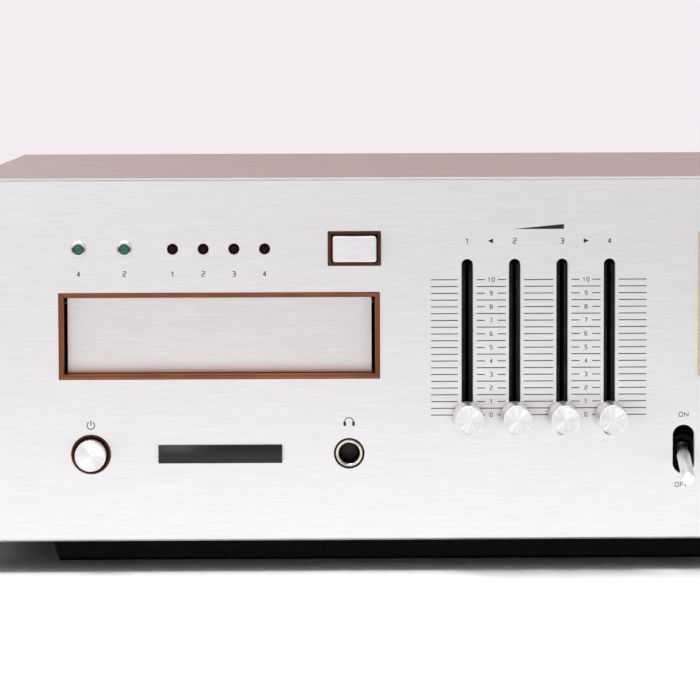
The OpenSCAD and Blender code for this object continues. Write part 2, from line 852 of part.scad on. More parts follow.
// Ratchet wheel with four rising steps for the head's carriage.
module program_cam() {
    step_h = head_lift / 3;
    color("ivory") at(cam_u, carriage_d, 0) difference() {
        union() {
            translate([0, 0, cam_low]) linear_extrude(cam_disc_h)
                polygon([for (i = [0:cam_teeth - 1], k = [0, 1])
                    let (a = (i + (k == 0 ? 0 : 0.85)) * 360 / cam_teeth, r = k == 0 ? cam_r - 1.4 : cam_r)
                    [r * cos(a), r * sin(a)]]);
            for (i = [1:3]) {
                translate([0, 0, cam_low + 1]) linear_extrude(cam_disc_h - 1 + i * step_h) intersection() {
                    difference() {
                        circle(cam_r - 1.6);
                        circle(cam_ring_r);
                    }
                    wedge(2 * i - cam_end, 180 - 90 * i - cam_late, 2 * cam_r);
                }
            }
            translate([0, 0, cam_low]) cylinder(r = 4, h = cam_disc_h + 2);
        }
        translate([0, 0, cam_low - over]) cylinder(r = cam_pin_r + run_gap, h = cam_disc_h + 4 + over);
    }
}

// Coil in a steel yoke, bored for its plunger.
module program_solenoid() {
    left = solenoid_u - solenoid_w / 2;
    right = solenoid_u + solenoid_w / 2;
    back = solenoid_d0 + solenoid_l;
    yoke_top = solenoid_v + solenoid_w / 2;
    color("peru") difference() {
        union() {
            block(left, right, solenoid_d0, solenoid_d0 + yoke_t, deck_top, yoke_top);
            block(left, right, back - yoke_t, back, deck_top, yoke_top);
            block(left, right, solenoid_d0, back, deck_top, deck_top + yoke_t);
            rod(solenoid_u, solenoid_v, solenoid_w / 2 - 0.7, solenoid_d0, back);
        }
        rod(solenoid_u, solenoid_v, plunger_r + run_gap, solenoid_d0 - over,
            solenoid_d0 + plunger_in + plunger_travel + plunger_stop);
    }
}

// Plunger with the pawl that steps the cam.
module solenoid_plunger() {
    pawl_w = 4.3;
    front = solenoid_d0 - plunger_out;
    color("gray") {
        rod(solenoid_u, solenoid_v, plunger_r, front, solenoid_d0 + plunger_in);
        difference() {
            block(solenoid_u - pawl_w, solenoid_u + 1, front, front + 3, cam_low + 0.2, solenoid_v);
            rod(solenoid_u, solenoid_v, plunger_r, front - over, front + 3 + over);
        }
    }
}

module power_liner() {
    color("sienna") turned(power_u, row_v, [
        [power_liner_r - button_liner_lip, -bezel_proud], [power_liner_r, -bezel_proud],
        [power_liner_r, panel_t], [power_liner_r + flange_w, panel_t],
        [power_liner_r + flange_w, panel_t + steel_t], [power_liner_r, panel_t + steel_t],
        [power_liner_r, button_liner_back], [power_liner_r - button_liner_lip, button_liner_back]]);
}

module power_button() {
    color("silver") turned(power_u, row_v, [
        [0, 0.2 - power_reach], [power_r - 1, -power_reach], [power_r - 0.3, -power_reach],
        [power_r, 0.3 - power_reach], [power_r, cap_back], [stem_r, cap_back],
        [stem_r, sub_back + stem_in], [0, sub_back + stem_in]]);
}

module program_liner() {
    color("sienna") difference() {
        union() {
            pushed(program_u, lamp_v, -bezel_proud, button_liner_back)
                round_rect(program_liner_w, program_liner_h, corner_r);
            pushed(program_u, lamp_v, panel_t, panel_t + steel_t)
                round_rect(program_liner_w + 2 * flange_w, program_liner_h + 2 * flange_w, corner_r);
        }
        pushed(program_u, lamp_v, -bezel_proud - over, button_liner_back + over)
            round_rect(program_liner_w - 2 * button_liner_lip, program_liner_h - 2 * button_liner_lip,
                corner_r / 2);
    }
}

// The bevel round the front of a cap: half its size is h, and the result is its side outline.
function bevelled(h, front, back, edge) = [
    [front - over, h - edge - over], [front + edge + over, h + over], [back + over, h + over],
    [back + over, -h - over], [front + edge + over, -h - over], [front - over, edge + over - h]];

// Cap with its front edges bevelled, on its stem.
module program_button() {
    edge = 0.4;
    color("silver") {
        intersection() {
            pushed(program_u, lamp_v, -program_reach, cap_back)
                round_rect(program_w, program_h, cap_corner_r);
            at(program_u - program_w / 2 - over, 0, lamp_v) rotate([90, 0, 90])
                linear_extrude(program_w + 2 * over)
                polygon(bevelled(program_h / 2, -program_reach, cap_back, edge));
            at(program_u, 0, lamp_v - program_h / 2 - over) linear_extrude(program_h + 2 * over)
                polygon([for (p = bevelled(program_w / 2, -program_reach, cap_back, edge)) [p[1], p[0]]]);
        }
        rod(program_u, lamp_v, stem_r, cap_back - over, sub_back + stem_in);
    }
}

// Push switches behind the two buttons, each bored for its stem.
module button_switches() {
    color("saddlebrown") {
        difference() {
            block(power_u - power_switch_w / 2, power_u + power_switch_w / 2, sub_back, sub_back + switch_l,
                row_v - power_switch_w / 2, row_v + power_switch_w / 2);
            rod(power_u, row_v, stem_r + slide_gap, sub_back - over,
                sub_back + stem_in + power_travel + stop_gap);
        }
        difference() {
            block(program_u - program_switch_w, program_u + program_switch_w, sub_back, sub_back + switch_l,
                lamp_v - program_switch_w / 2, lamp_v + program_switch_w / 2);
            rod(program_u, lamp_v, stem_r + slide_gap, sub_back - over,
                sub_back + stem_in + program_travel + stop_gap);
        }
    }
}

module lamp_bezels() {
    tube_r = channel_lamp_r + 0.75;
    color("silver") for (u = channel_lamps_u) {
        turned(u, lamp_v, [
            [channel_lamp_r + fit_gap, -lamp_proud], [lamp_bezel_r - 0.4, -lamp_proud],
            [lamp_bezel_r, -0.2], [lamp_bezel_r, 0], [tube_r, 0], [tube_r, panel_t + 1],
            [channel_lamp_r + fit_gap, panel_t + 1]]);
    }
}

// A lamp with a domed lens and a tail behind the panel.
module lamp(u, r, front, collar) {
    dome = r * 0.45;
    turned(u, lamp_v, concat(
        [for (a = [90:-15:0]) [r * cos(a), front - dome * sin(a)]],
        [[r, collar], [r + 0.5, collar], [r + 0.5, collar + 0.8], [r, collar + 0.8], [r, lamp_back],
        [0, lamp_back]]));
}

module channel_lamps() {
    color("seagreen") for (u = channel_lamps_u) {
        lamp(u, channel_lamp_r, -0.2, panel_t + 1);
    }
}

module program_lamps() {
    color("darkred") for (u = program_lamps_u) {
        lamp(u, program_lamp_r, 0.6, panel_t);
    }
}

// Jack with a threaded sleeve that shows in the panel's hole.
module headphone_jack() {
    color("silver") difference() {
        union() {
            turned(jack_u, row_v, [[0, -0.1], [jack_ring_r - 0.4, -0.1], [jack_ring_r, 0.3],
                [jack_ring_r, sub_back], [0, sub_back]]);
            block(jack_u - 7.5, jack_u + 7.5, sub_back, sub_back + jack_body_l, row_v - 6.5, row_v + 6.5);
        }
        rod(jack_u, row_v, jack_bore_r, -over, jack_bore_l);
    }
}

module badge_plate() {
    color("black") pushed(badge_u, row_v, -badge_t, 0) round_rect(badge_w, badge_h, 0.4);
}

// Turned knob on the blade of its slide control.
module volume_knob(i) {
    u = slider_us[i];
    color("silver") union() {
        turned(u, slider_zero_v, [
            [0, -slider_reach], [slider_knob_r - 0.35, -slider_reach],
            [slider_knob_r, 0.35 - slider_reach], [slider_knob_r, -knob_gap - 0.3],
            [slider_knob_r - 0.3, -knob_gap], [0, -knob_gap]]);
        block(u - lever_blade_w / 2, u + lever_blade_w / 2, -knob_gap - over, sub_back + 1.5 + shoe_d,
            slider_zero_v - lever_blade_h / 2, slider_zero_v + lever_blade_h / 2);
        block(u - shoe_w / 2, u + shoe_w / 2, sub_back + 1.5, sub_back + 1.5 + shoe_d,
            slider_zero_v - shoe_h / 2, slider_zero_v + shoe_h / 2);
    }
}

module volume_knob_1() { volume_knob(0); }
module volume_knob_2() { volume_knob(1); }
module volume_knob_3() { volume_knob(2); }
module volume_knob_4() { volume_knob(3); }

// Four slide controls behind the plate, each with a channel for its shoe.
module slide_pots() {
    shoe_low = slider_zero_v - shoe_h / 2 - slide_gap;
    shoe_top = slider_zero_v + slider_travel + shoe_h / 2 + slide_gap;
    color("black") for (u = slider_us) {
        difference() {
            block(u - pot_w / 2, u + pot_w / 2, sub_back, sub_back + pot_depth,
                slider_slot_low - pot_end, slider_slot_top + pot_end);
            block(u - lever_blade_w / 2 - slide_gap, u + lever_blade_w / 2 + slide_gap,
                sub_back - over, sub_back + 2, shoe_low, shoe_top);
            block(u - shoe_w / 2 - slide_gap, u + shoe_w / 2 + slide_gap,
                sub_back + 1.5 - slide_gap, sub_back + 1.5 + shoe_d + slide_gap, shoe_low, shoe_top);
        }
    }
}

// Chromed lever with its ball and pivot pin, resting in the lower position.
module loudness_lever() {
    color("silver") at(loudness_u, lever_pivot_d, loudness_v) {
        rotate([90 + lever_tilt, 0, 0]) rotate_extrude() polygon(concat(
            [for (a = [-90:15:45]) [ball_r * cos(a), ball_r * sin(a)]],
            [[neck_r, ball_r * 0.9], [neck_r, sleeve_start], [lever_r - 0.3, sleeve_start],
            [lever_r, sleeve_start + 0.6], [lever_r, lever_l - lever_edge],
            [lever_r - lever_edge, lever_l], [0, lever_l]]));
        rotate([0, 90, 0]) cylinder(r = pivot_pin_r, h = pivot_pin_l, center = true);
    }
}

module loudness_switch() {
    color("dimgray") difference() {
        union() {
            rod(loudness_u, loudness_v, bushing_r, bushing_front, sub_back);
            block(loudness_u - toggle_body_w / 2, loudness_u + toggle_body_w / 2, sub_back,
                sub_back + toggle_body_l, loudness_v - toggle_body_h / 2, loudness_v + toggle_body_h / 2);
        }
        rod(loudness_u, loudness_v, bushing_bore_r, bushing_front - over, lever_pivot_d + bushing_bore_r);
        at(loudness_u, lever_pivot_d, loudness_v) rotate([0, 90, 0])
            cylinder(r = pivot_pin_r + run_gap, h = 2 * (bushing_r + over), center = true);
    }
}

// Gold frame of the dial window.
module dial_bezel() {
    color("burlywood") difference() {
        union() {
            pushed(dial_cx, dial_cv, -dial_proud, 0) round_rect(dial_w, dial_h, corner_r);
            pushed(dial_cx, dial_cv, 0, dial_sleeve)
                round_rect(dial_w - 2 * dial_lip, dial_h - 2 * dial_lip, corner_r);
        }
        pushed(dial_cx, dial_cv, -dial_proud - over, dial_sleeve + over)
            round_rect(dial_w - 4 * dial_lip + 2, dial_h - 4 * dial_lip + 2, corner_r / 2);
    }
}

module dial_glass() {
    color("lightblue", 0.4) pushed(dial_cx, dial_cv, 0.5, 0.5 + glass_t)
        round_rect(dial_w - 4 * dial_lip + 2, dial_h - 4 * dial_lip + 2, corner_r / 2);
}

// Printed scale plate with a rail along its top for the pointer.
module dial_scale() {
    color("beige") {
        block(dial_u - scale_margin, dial_u + dial_w + scale_margin, sub_back, sub_back + steel_t,
            dial_v - scale_margin, rail_v + steel_t);
        block(pointer_u0 - rider_w, pointer_u0 + pointer_travel + rider_w, rail_front, sub_back,
            rail_v, rail_v + steel_t);
    }
}

// Needle that hangs from a rider on the rail.
module dial_pointer() {
    low = dial_v + dial_lip + 4;
    color("orangered") difference() {
        union() {
            block(pointer_u0 - pointer_w / 2, pointer_u0 + pointer_w / 2,
                pointer_d, pointer_d + pointer_t, low, rail_v);
            block(pointer_u0 - rider_w / 2, pointer_u0 + rider_w / 2,
                rail_front - 1.1, pointer_d + pointer_t, rail_v - 1.2, rail_v + steel_t + 1.2);
        }
        block(pointer_u0 - rider_w, pointer_u0 + rider_w, rail_front - 0.3, sub_back,
            rail_v - 0.3, rail_v + steel_t + 0.3);
    }
}

// Fluted knob with a dished face.
module tuning_knob() {
    color("silver") difference() {
        pushed(tuning_u, tuning_v, -tuning_reach, -knob_gap) fluted(tuning_knob_r, 0.5, 60);
        turned(tuning_u, tuning_v, [[0, -tuning_reach - over], [tuning_knob_r - 2.5, -tuning_reach - over],
            [tuning_knob_r - 2.5, -tuning_reach], [tuning_knob_r - 4, 0.8 - tuning_reach],
            [0, 0.8 - tuning_reach]]);
        rod(tuning_u, tuning_v, tuning_shaft_r, 5 - tuning_reach, over);
    }
}

// Tuning shaft with its flywheel behind the plate.
module tuning_shaft() {
    wheel_front = sub_back + 3;
    wheel_back = wheel_front + tuning_wheel_l;
    color("gray") turned(tuning_u, tuning_v, [
        [0, 5 - tuning_reach], [tuning_shaft_r, 5 - tuning_reach], [tuning_shaft_r, wheel_front],
        [tuning_wheel_r - 0.8, wheel_front], [tuning_wheel_r, wheel_front + 0.8],
        [tuning_wheel_r, wheel_back - 0.8], [tuning_wheel_r - 0.8, wheel_back], [0, wheel_back]]);
}

// Tuning capacitor in its frame, on two legs.
module tuning_capacitor() {
    low = drum_v - capacitor_h / 2;
    left = drum_u - capacitor_w / 2;
    color("lightsteelblue") difference() {
        union() {
            block(left, left + capacitor_w, capacitor_d, capacitor_d + capacitor_l, low, low + capacitor_h);
            for (u = [left, left + capacitor_w - capacitor_leg]) {
                block(u, u + capacitor_leg, capacitor_d, capacitor_d + capacitor_l, steel_t, low);
            }
        }
        rod(drum_u, drum_v, drum_shaft_r + run_gap, capacitor_d - over, shaft_end + over);
    }
}

// Cord drum with a grooved rim, on the capacitor's shaft.
module tuning_drum() {
    color("ivory") difference() {
        turned(drum_u, drum_v, [
            [0, drum_d], [drum_r, drum_d], [drum_r, drum_d + drum_rim],
            [drum_r - drum_groove, drum_d + drum_t / 2], [drum_r, drum_d + drum_t - drum_rim],
            [drum_r, drum_d + drum_t], [drum_hub_r, drum_d + drum_t],
            [drum_hub_r, drum_d + drum_t + drum_hub_l], [drum_shaft_r, drum_d + drum_t + drum_hub_l],
            [drum_shaft_r, shaft_end], [0, shaft_end]]);
        for (a = [30:60:330]) {
            rod(drum_u + drum_r * 0.6 * cos(a), drum_v + drum_r * 0.6 * sin(a), drum_hole_r,
                drum_d - over, drum_d + drum_t + over);
        }
    }
}

// Fluted knob with a skirt and a pointer groove, on the shaft of its control.
module tone_knob(i) {
    u = tone_us[i];
    skirt = 3;
    color("silver") difference() {
        union() {
            pushed(u, row_v, -tone_reach, -knob_gap - skirt) fluted(tone_knob_r - 1, 0.4, 36);
            rod(u, row_v, tone_knob_r, -knob_gap - skirt, -knob_gap);
            rod(u, row_v, tone_shaft_r, -knob_gap - over, sub_back + 6);
        }
        block(u - 0.4, u + 0.4, -tone_reach - over, 0.5 - tone_reach,
            row_v + 3, row_v + tone_knob_r + over);
    }
}

module selector_knob() { tone_knob(0); }
module bass_knob() { tone_knob(1); }
module treble_knob() { tone_knob(2); }

// Bodies and bushings of the rotary controls, and the tuning shaft's bushing.
module rotary_controls() {
    color("dimgray") {
        for (u = tone_us) {
            difference() {
                union() {
                    rod(u, row_v, control_bushing_r, control_bushing_front, sub_back);
                    rod(u, row_v, tone_body_r, sub_back, sub_back + tone_body_l);
                }
                rod(u, row_v, tone_shaft_r + run_gap, control_bushing_front - over, sub_back + 8);
            }
        }
        difference() {
            union() {
                rod(tuning_u, tuning_v, control_bushing_r, control_bushing_front, sub_back);
                rod(tuning_u, tuning_v, control_bushing_r + 2, sub_back, sub_back + 1.5);
            }
            rod(tuning_u, tuning_v, tuning_shaft_r + run_gap, control_bushing_front - over, sub_back + 3);
        }
    }
}

// Amplifier board with its large capacitors and a row of output stages.
module main_board() {
    color("darkgreen") block(board_u0, board_u1, board_d0, board_d1, board_low, board_top);
    color("steelblue") {
        for (i = [0:3]) {
            post(board_u0 + tank_first + i * tank_pitch, board_d1 - tank_back, tank_r, board_top,
                board_top + tank_h);
        }
        for (i = [0:5], row = small_rows) {
            post(board_u0 + small_first + i * small_pitch, board_d0 + row, small_r, board_top,
                board_top + small_h);
        }
        for (i = [0:3]) {
            stage_u = board_u0 + stage_first + i * stage_pitch;
            block(stage_u, stage_u + stage_l, board_d0 + stage_row, board_d0 + stage_row + stage_w,
                board_top, board_top + stage_h);
        }
    }
}

// Laminated core standing on two feet, with the winding through it.
module power_transformer() {
    color("gray") {
        block(core_u, core_u + core_w, core_d, core_d + core_t, steel_t, core_top);
        for (d = [core_d - winding_t, core_d + core_t]) {
            block(core_u + winding_inset, core_u + core_w - winding_inset, d, d + winding_t,
                steel_t + winding_inset, core_top - winding_inset);
        }
        for (u = [core_u - ear_l, core_u + core_w]) {
            block(u, u + ear_l, core_d + ear_l, core_d + core_t - ear_l, steel_t, steel_t + ear_t);
        }
    }
}

// Extruded heat sink with upright fins.
module heat_sink() {
    color("black") {
        block(sink_u, sink_u + sink_w, sink_d, sink_d + sink_base, steel_t, sink_top);
        for (i = [0:fin_count - 1]) {
            u = sink_u + i * (sink_w - fin_t) / (fin_count - 1);
            block(u, u + fin_t, sink_d, sink_d + sink_depth, steel_t, sink_top);
        }
    }
}

// A terminal strip with a row of screws.
module strip(u, v, l, h, count) {
    pushed(u, v, rear_out, rear_out + strip_t) round_rect(l, h, strip_r);
    pushed(u, v, rear_in - plug_in, rear_out)
        square([l - 2 * strip_boss - 2 * plug_gap, h - 2 * strip_boss - 2 * plug_gap], center = true);
    for (i = [0:count - 1]) {
        x = u + (i - (count - 1) / 2) * (l - 12) / (count - 1);
        difference() {
            rod(x, v, terminal_r, rear_out + strip_t, rear_out + strip_t + terminal_h);
            block(x - terminal_slot / 2, x + terminal_slot / 2, rear_out + strip_t + terminal_h - 1,
                rear_out + strip_t + terminal_h + over, v - terminal_r - over, v + terminal_r + over);
        }
    }
}

module rear_terminals() {
    color("silver") {
        strip(speaker_u, speaker_v, speaker_l, speaker_h, 8);
        strip(antenna_u, antenna_v, antenna_l, antenna_h, 4);
    }
}

// Plate with two rows of four phono sockets.
module rca_jacks() {
    color("silver") difference() {
        union() {
            pushed(rca_u, rca_v, rear_out, rear_out + rca_t) round_rect(rca_w, rca_h, strip_r);
            pushed(rca_u, rca_v, rear_in - plug_in, rear_out)
                square([rca_w - 2 * strip_boss - 2 * plug_gap, rca_h - 2 * strip_boss - 2 * plug_gap],
                    center = true);
            for (i = [-1.5:1.5], j = [-0.5, 0.5]) {
                rod(rca_u + i * rca_pitch_u, rca_v + j * rca_pitch_v, rca_shell_r,
                    rear_out + rca_t, rear_out + rca_t + rca_shell_l);
            }
        }
        for (i = [-1.5:1.5], j = [-0.5, 0.5]) {
            rod(rca_u + i * rca_pitch_u, rca_v + j * rca_pitch_v, rca_bore_r,
                rear_out, rear_out + rca_t + rca_shell_l + over);
        }
    }
}

// Rubber grommet in the mains cord's hole.
module cord_grommet() {
    color("black") turned(cord_u, cord_v, [
        [cord_bore_r, rear_in - 2], [cord_hole_r + cord_lip, rear_in - 2],
        [cord_hole_r + cord_lip, rear_in],
        [cord_hole_r, rear_in], [cord_hole_r, rear_out], [cord_hole_r + cord_lip, rear_out],
        [cord_hole_r + cord_lip - 0.8, rear_out + 2.5], [cord_bore_r, rear_out + 2.5]]);
}

cabinet_top();
cabinet_side_left();
cabinet_side_right();
cabinet_screws();
front_panel();
front_subchassis();
base_tray();
foot_rail_front();
foot_rail_rear();
rear_panel();
slot_bezel();
cartridge_door();
door_hinge_pin();
cartridge_guide();
deck_chassis();
capstan_flywheel();
capstan_bearing();
drive_motor();
motor_pulley();
drive_belt();
head_carriage();
tape_head();
program_cam();
program_solenoid();
solenoid_plunger();
power_liner();
power_button();
program_liner();
program_button();
button_switches();
lamp_bezels();
channel_lamps();
program_lamps();
headphone_jack();
badge_plate();
volume_knob_1();
volume_knob_2();
volume_knob_3();
volume_knob_4();
slide_pots();
loudness_lever();
loudness_switch();
dial_bezel();
dial_glass();
dial_scale();
dial_pointer();
tuning_knob();
tuning_shaft();
tuning_capacitor();
tuning_drum();
selector_knob();
bass_knob();
treble_knob();
rotary_controls();
main_board();
power_transformer();
heat_sink();
rear_terminals();
rca_jacks();
cord_grommet();
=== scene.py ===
import math
import bmesh
import bpy
from mathutils import Matrix, Vector


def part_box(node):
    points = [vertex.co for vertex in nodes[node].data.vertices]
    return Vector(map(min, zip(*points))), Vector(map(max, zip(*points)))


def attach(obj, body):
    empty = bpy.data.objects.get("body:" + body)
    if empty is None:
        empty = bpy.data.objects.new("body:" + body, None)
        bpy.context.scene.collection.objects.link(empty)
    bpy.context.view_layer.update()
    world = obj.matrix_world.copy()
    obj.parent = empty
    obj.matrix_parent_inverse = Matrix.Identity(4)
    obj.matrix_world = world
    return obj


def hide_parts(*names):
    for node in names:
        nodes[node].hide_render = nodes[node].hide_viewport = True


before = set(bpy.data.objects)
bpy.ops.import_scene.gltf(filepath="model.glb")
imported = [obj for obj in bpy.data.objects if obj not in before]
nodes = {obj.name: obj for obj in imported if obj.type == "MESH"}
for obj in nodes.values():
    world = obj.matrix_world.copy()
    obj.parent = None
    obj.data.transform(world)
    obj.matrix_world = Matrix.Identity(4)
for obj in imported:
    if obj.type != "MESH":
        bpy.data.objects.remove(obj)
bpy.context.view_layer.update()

# ---------------------------------------------------------------------------
# Places. Everything is measured in mm on the front panel: u to the right of
# its left edge, d behind its face and v above its lower edge.
# ---------------------------------------------------------------------------
PANEL_LOW, PANEL_HIGH = (Vector(corner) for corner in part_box("front_panel"))
MM = 0.001

ROW_V = 28.9                                  # height of the lower row of controls
LAMP_V = 96.7                                 # height of the row of lamps
LAMP_NUMBER_V = 88.5                          # height of the numbers below the lamps
SLOT_U, SLOT_V = 83.3, 68.0                   # middle of the cartridge slot
POWER_U, PROGRAM_U = 40.7, 127.9
JACK_U, BADGE_U = 126.0, 83.4
TOGGLE_U, TOGGLE_V = 236.7, 29.8
SLIDER_US = [165.1 + 15.65 * i for i in range(4)]
SLIDER_ZERO = 41.45                           # height of the volume knobs at 0
CHANNEL_LAMPS = (37.1, 52.2)
PROGRAM_LAMPS = (68.05, 78.15, 88.25, 98.35)
TONE_US = (305.0, 350.0, 395.0)
TUNING_U, TUNING_V = 470.0, 79.0
DIAL_LEFT, DIAL_RIGHT = 241.4, 441.4
DIAL_LOW, DIAL_TOP = 54.2, 102.2
SCALE_FACE = 10.2                             # depth of the dial's printed plate
SCALE_START, SCALE_SPAN = 275.43, 131.95      # the dial's scales, as far as the pointer goes
REAR_FACE = 265.0                             # depth of the rear panel's outer face
REAR_SCREWS = [(u, v) for v in (8, 100) for u in (20, 250, 480)]
PHONO_U, PHONO_V, PHONO_PITCH, PHONO_RISE = 235, 48, 17, 16
TERMINAL_U, TERMINAL_PITCH = 115, 108 / 7
PRINT_FACE = 0.005                            # depth at which print starts, just in its ground
PRINT_LINE = 0.3                              # width of a printed scale's or sign's line


def at(u, d, v):
    """A point of the object from its place on the panel."""
    return PANEL_LOW + Vector((u, d, v)) * MM


# ---------------------------------------------------------------------------
# Camera
# ---------------------------------------------------------------------------
VIEW_PLACE = (-0.1404, -1.3553, 0.1743)       # m
VIEW_YAW, VIEW_PITCH, VIEW_ROLL = 0.781, 4.675, 0.185       # degrees
FILM_WIDTH, FOCAL_LENGTH = 36.0, 192.4        # mm


def set_camera():
    """The view: low, a little left of the deck, through a long lens."""
    yaw, pitch, roll = (math.radians(a) for a in (VIEW_YAW, VIEW_PITCH, VIEW_ROLL))
    forward = Vector((math.sin(yaw) * math.cos(pitch), math.cos(yaw) * math.cos(pitch),
                      -math.sin(pitch)))
    level = Vector((math.cos(yaw), -math.sin(yaw), 0.0))
    upright = level.cross(forward)
    right = level * math.cos(roll) - upright * math.sin(roll)
    up = level * math.sin(roll) + upright * math.cos(roll)
    lens = bpy.data.cameras.new("camera")
    lens.sensor_fit = "HORIZONTAL"
    lens.sensor_width = FILM_WIDTH
    lens.lens = FOCAL_LENGTH
    lens.clip_start = 0.05
    lens.clip_end = 50.0
    camera = bpy.data.objects.new("camera", lens)
    camera.matrix_world = Matrix.Translation(VIEW_PLACE) @ Matrix(
        (right, up, -forward)).transposed().to_4x4()
    bpy.context.scene.collection.objects.link(camera)
    bpy.context.scene.camera = camera


set_camera()


# ---------------------------------------------------------------------------
# Finishes
# ---------------------------------------------------------------------------
NOISE_LOW, NOISE_HIGH = 0.35, 0.65            # most of a noise's values lie between these
FINE = 0.002                                  # relief of smooth metal in mm


def srgb(code):
    """An sRGB hex colour as linear red, green, blue and alpha."""
    shares = [int(code[i:i + 2], 16) / 255 for i in (1, 3, 5)]
    return [s / 12.92 if s <= 0.04045 else ((s + 0.055) / 1.055) ** 2.4 for s in shares] + [1.0]


def add(tree, kind, inputs=None, **settings):
    """Adds a node with its settings, and links or fills its inputs."""
    node = tree.nodes.new(kind)
    for name, value in settings.items():
        setattr(node, name, value)
    for socket, value in (inputs or {}).items():
        if isinstance(value, bpy.types.NodeSocket):
            tree.links.new(value, node.inputs[socket])
        else:
            node.inputs[socket].default_value = value
    return node


def start_finish(name, **sockets):
    """An empty finish: its node tree and its shader, with the plain values set."""
    finish = bpy.data.materials.new(name)
    finish.use_nodes = True
    tree = finish.node_tree
    shader = tree.nodes["Principled BSDF"]
    for socket, value in sockets.items():
        shader.inputs[socket.replace("_", " ")].default_value = value
    return finish, tree, shader


def dress(tree, shader, colour, gloss, height=None, depth=FINE):
    """Gives a shader its colour and roughness and, where height is given, bumps of depth mm."""
    tree.links.new(colour, shader.inputs["Base Color"])
    tree.links.new(gloss, shader.inputs["Roughness"])
    if height is not None:
        bump = add(tree, "ShaderNodeBump", {"Height": height, "Distance": depth * MM,
                                            "Strength": 1.0})
        tree.links.new(bump.outputs[0], shader.inputs["Normal"])


def grain(tree, size, detail, rough=0.55, warp=0.0):
    """Noise in the object's own space, whose patches are size = (x, y, z) mm."""
    place = add(tree, "ShaderNodeTexCoord")
    scaled = add(tree, "ShaderNodeMapping", {"Vector": place.outputs["Object"],
                                             "Scale": [1 / (s * MM) for s in size]})
    noise = add(tree, "ShaderNodeTexNoise", {"Vector": scaled.outputs[0], "Scale": 1.0,
                                             "Detail": detail, "Roughness": rough,
                                             "Distortion": warp})
    return noise.outputs[0]


def between(tree, share, low, high, near=NOISE_LOW, far=NOISE_HIGH):
    """Blends two colours, or two numbers, as a pattern goes from near to far."""
    if isinstance(low, str):
        share = between(tree, share, 0.0, 1.0, near, far)
        return add(tree, "ShaderNodeMix", {0: share, 6: srgb(low), 7: srgb(high)},
                   data_type="RGBA").outputs[2]
    spread = add(tree, "ShaderNodeMapRange", {"Value": share, "From Min": near, "From Max": far,
                                              "To Min": low, "To Max": high})
    return spread.outputs[0]


def mean_of(tree, first, second):
    """The mean of two patterns."""
    both = add(tree, "ShaderNodeMath", {0: first, 1: second}, operation="ADD").outputs[0]
    return add(tree, "ShaderNodeMath", {0: both, 1: 0.5}, operation="MULTIPLY").outputs[0]


def off_axis(tree):
    """A turned piece's arm from its axis, as note_axis stores it, with its way and its length."""
    arm = add(tree, "ShaderNodeAttribute", attribute_name="off_axis").outputs["Vector"]
    ray = add(tree, "ShaderNodeVectorMath", {0: arm}, operation="NORMALIZE").outputs[0]
    radius = add(tree, "ShaderNodeVectorMath", {0: arm}, operation="LENGTH").outputs["Value"]
    return arm, ray, radius


def brushed_sheet(name, dark, light, rough, streak, edge):
    """Aluminium sheet drawn under a wire brush from end to end: long fine streaks, and
    reflections that smear upright, across the strokes. One edge, from height near to height
    far, is duller and painted in another colour that stands in for light: painted shade on the
    panel's and the cap's top bevels, a painted reflection of the brown frame at the flap's foot."""
    finish, tree, shader = start_finish(name, Metallic=1.0, Anisotropic=0.88)
    broad = grain(tree, streak, 4.0, 0.6)
    fine = grain(tree, [s * f for s, f in zip(streak, (0.42, 0.42, 0.5))], 3.0, 0.7)
    colour = between(tree, mean_of(tree, broad, fine), dark, light, 0.4, 0.6)
    gloss = between(tree, fine, rough * 0.95, rough * 1.06)
    # painted light at the edge: painted shade on a top bevel, a painted reflection at the flap's
    # foot
    near, far, painted_edge_colour, dull = edge
    place = add(tree, "ShaderNodeTexCoord")
    upright = add(tree, "ShaderNodeSeparateXYZ", {0: place.outputs["Object"]}).outputs[2]
    share = between(tree, upright, 0.0, 1.0, near, far)
    share = add(tree, "ShaderNodeMath", {0: share, 1: 2.2}, operation="POWER").outputs[0]
    colour = add(tree, "ShaderNodeMix", {0: share, 6: colour, 7: srgb(painted_edge_colour)},
                 data_type="RGBA").outputs[2]
    gloss = add(tree, "ShaderNodeMath", {0: share, 1: dull, 2: gloss}, operation="MULTIPLY_ADD",
                use_clamp=True).outputs[0]
    dress(tree, shader, colour, gloss, fine)
    strokes = add(tree, "ShaderNodeTangent", direction_type="RADIAL", axis="Z")
    tree.links.new(strokes.outputs[0], shader.inputs["Tangent"])
    return finish


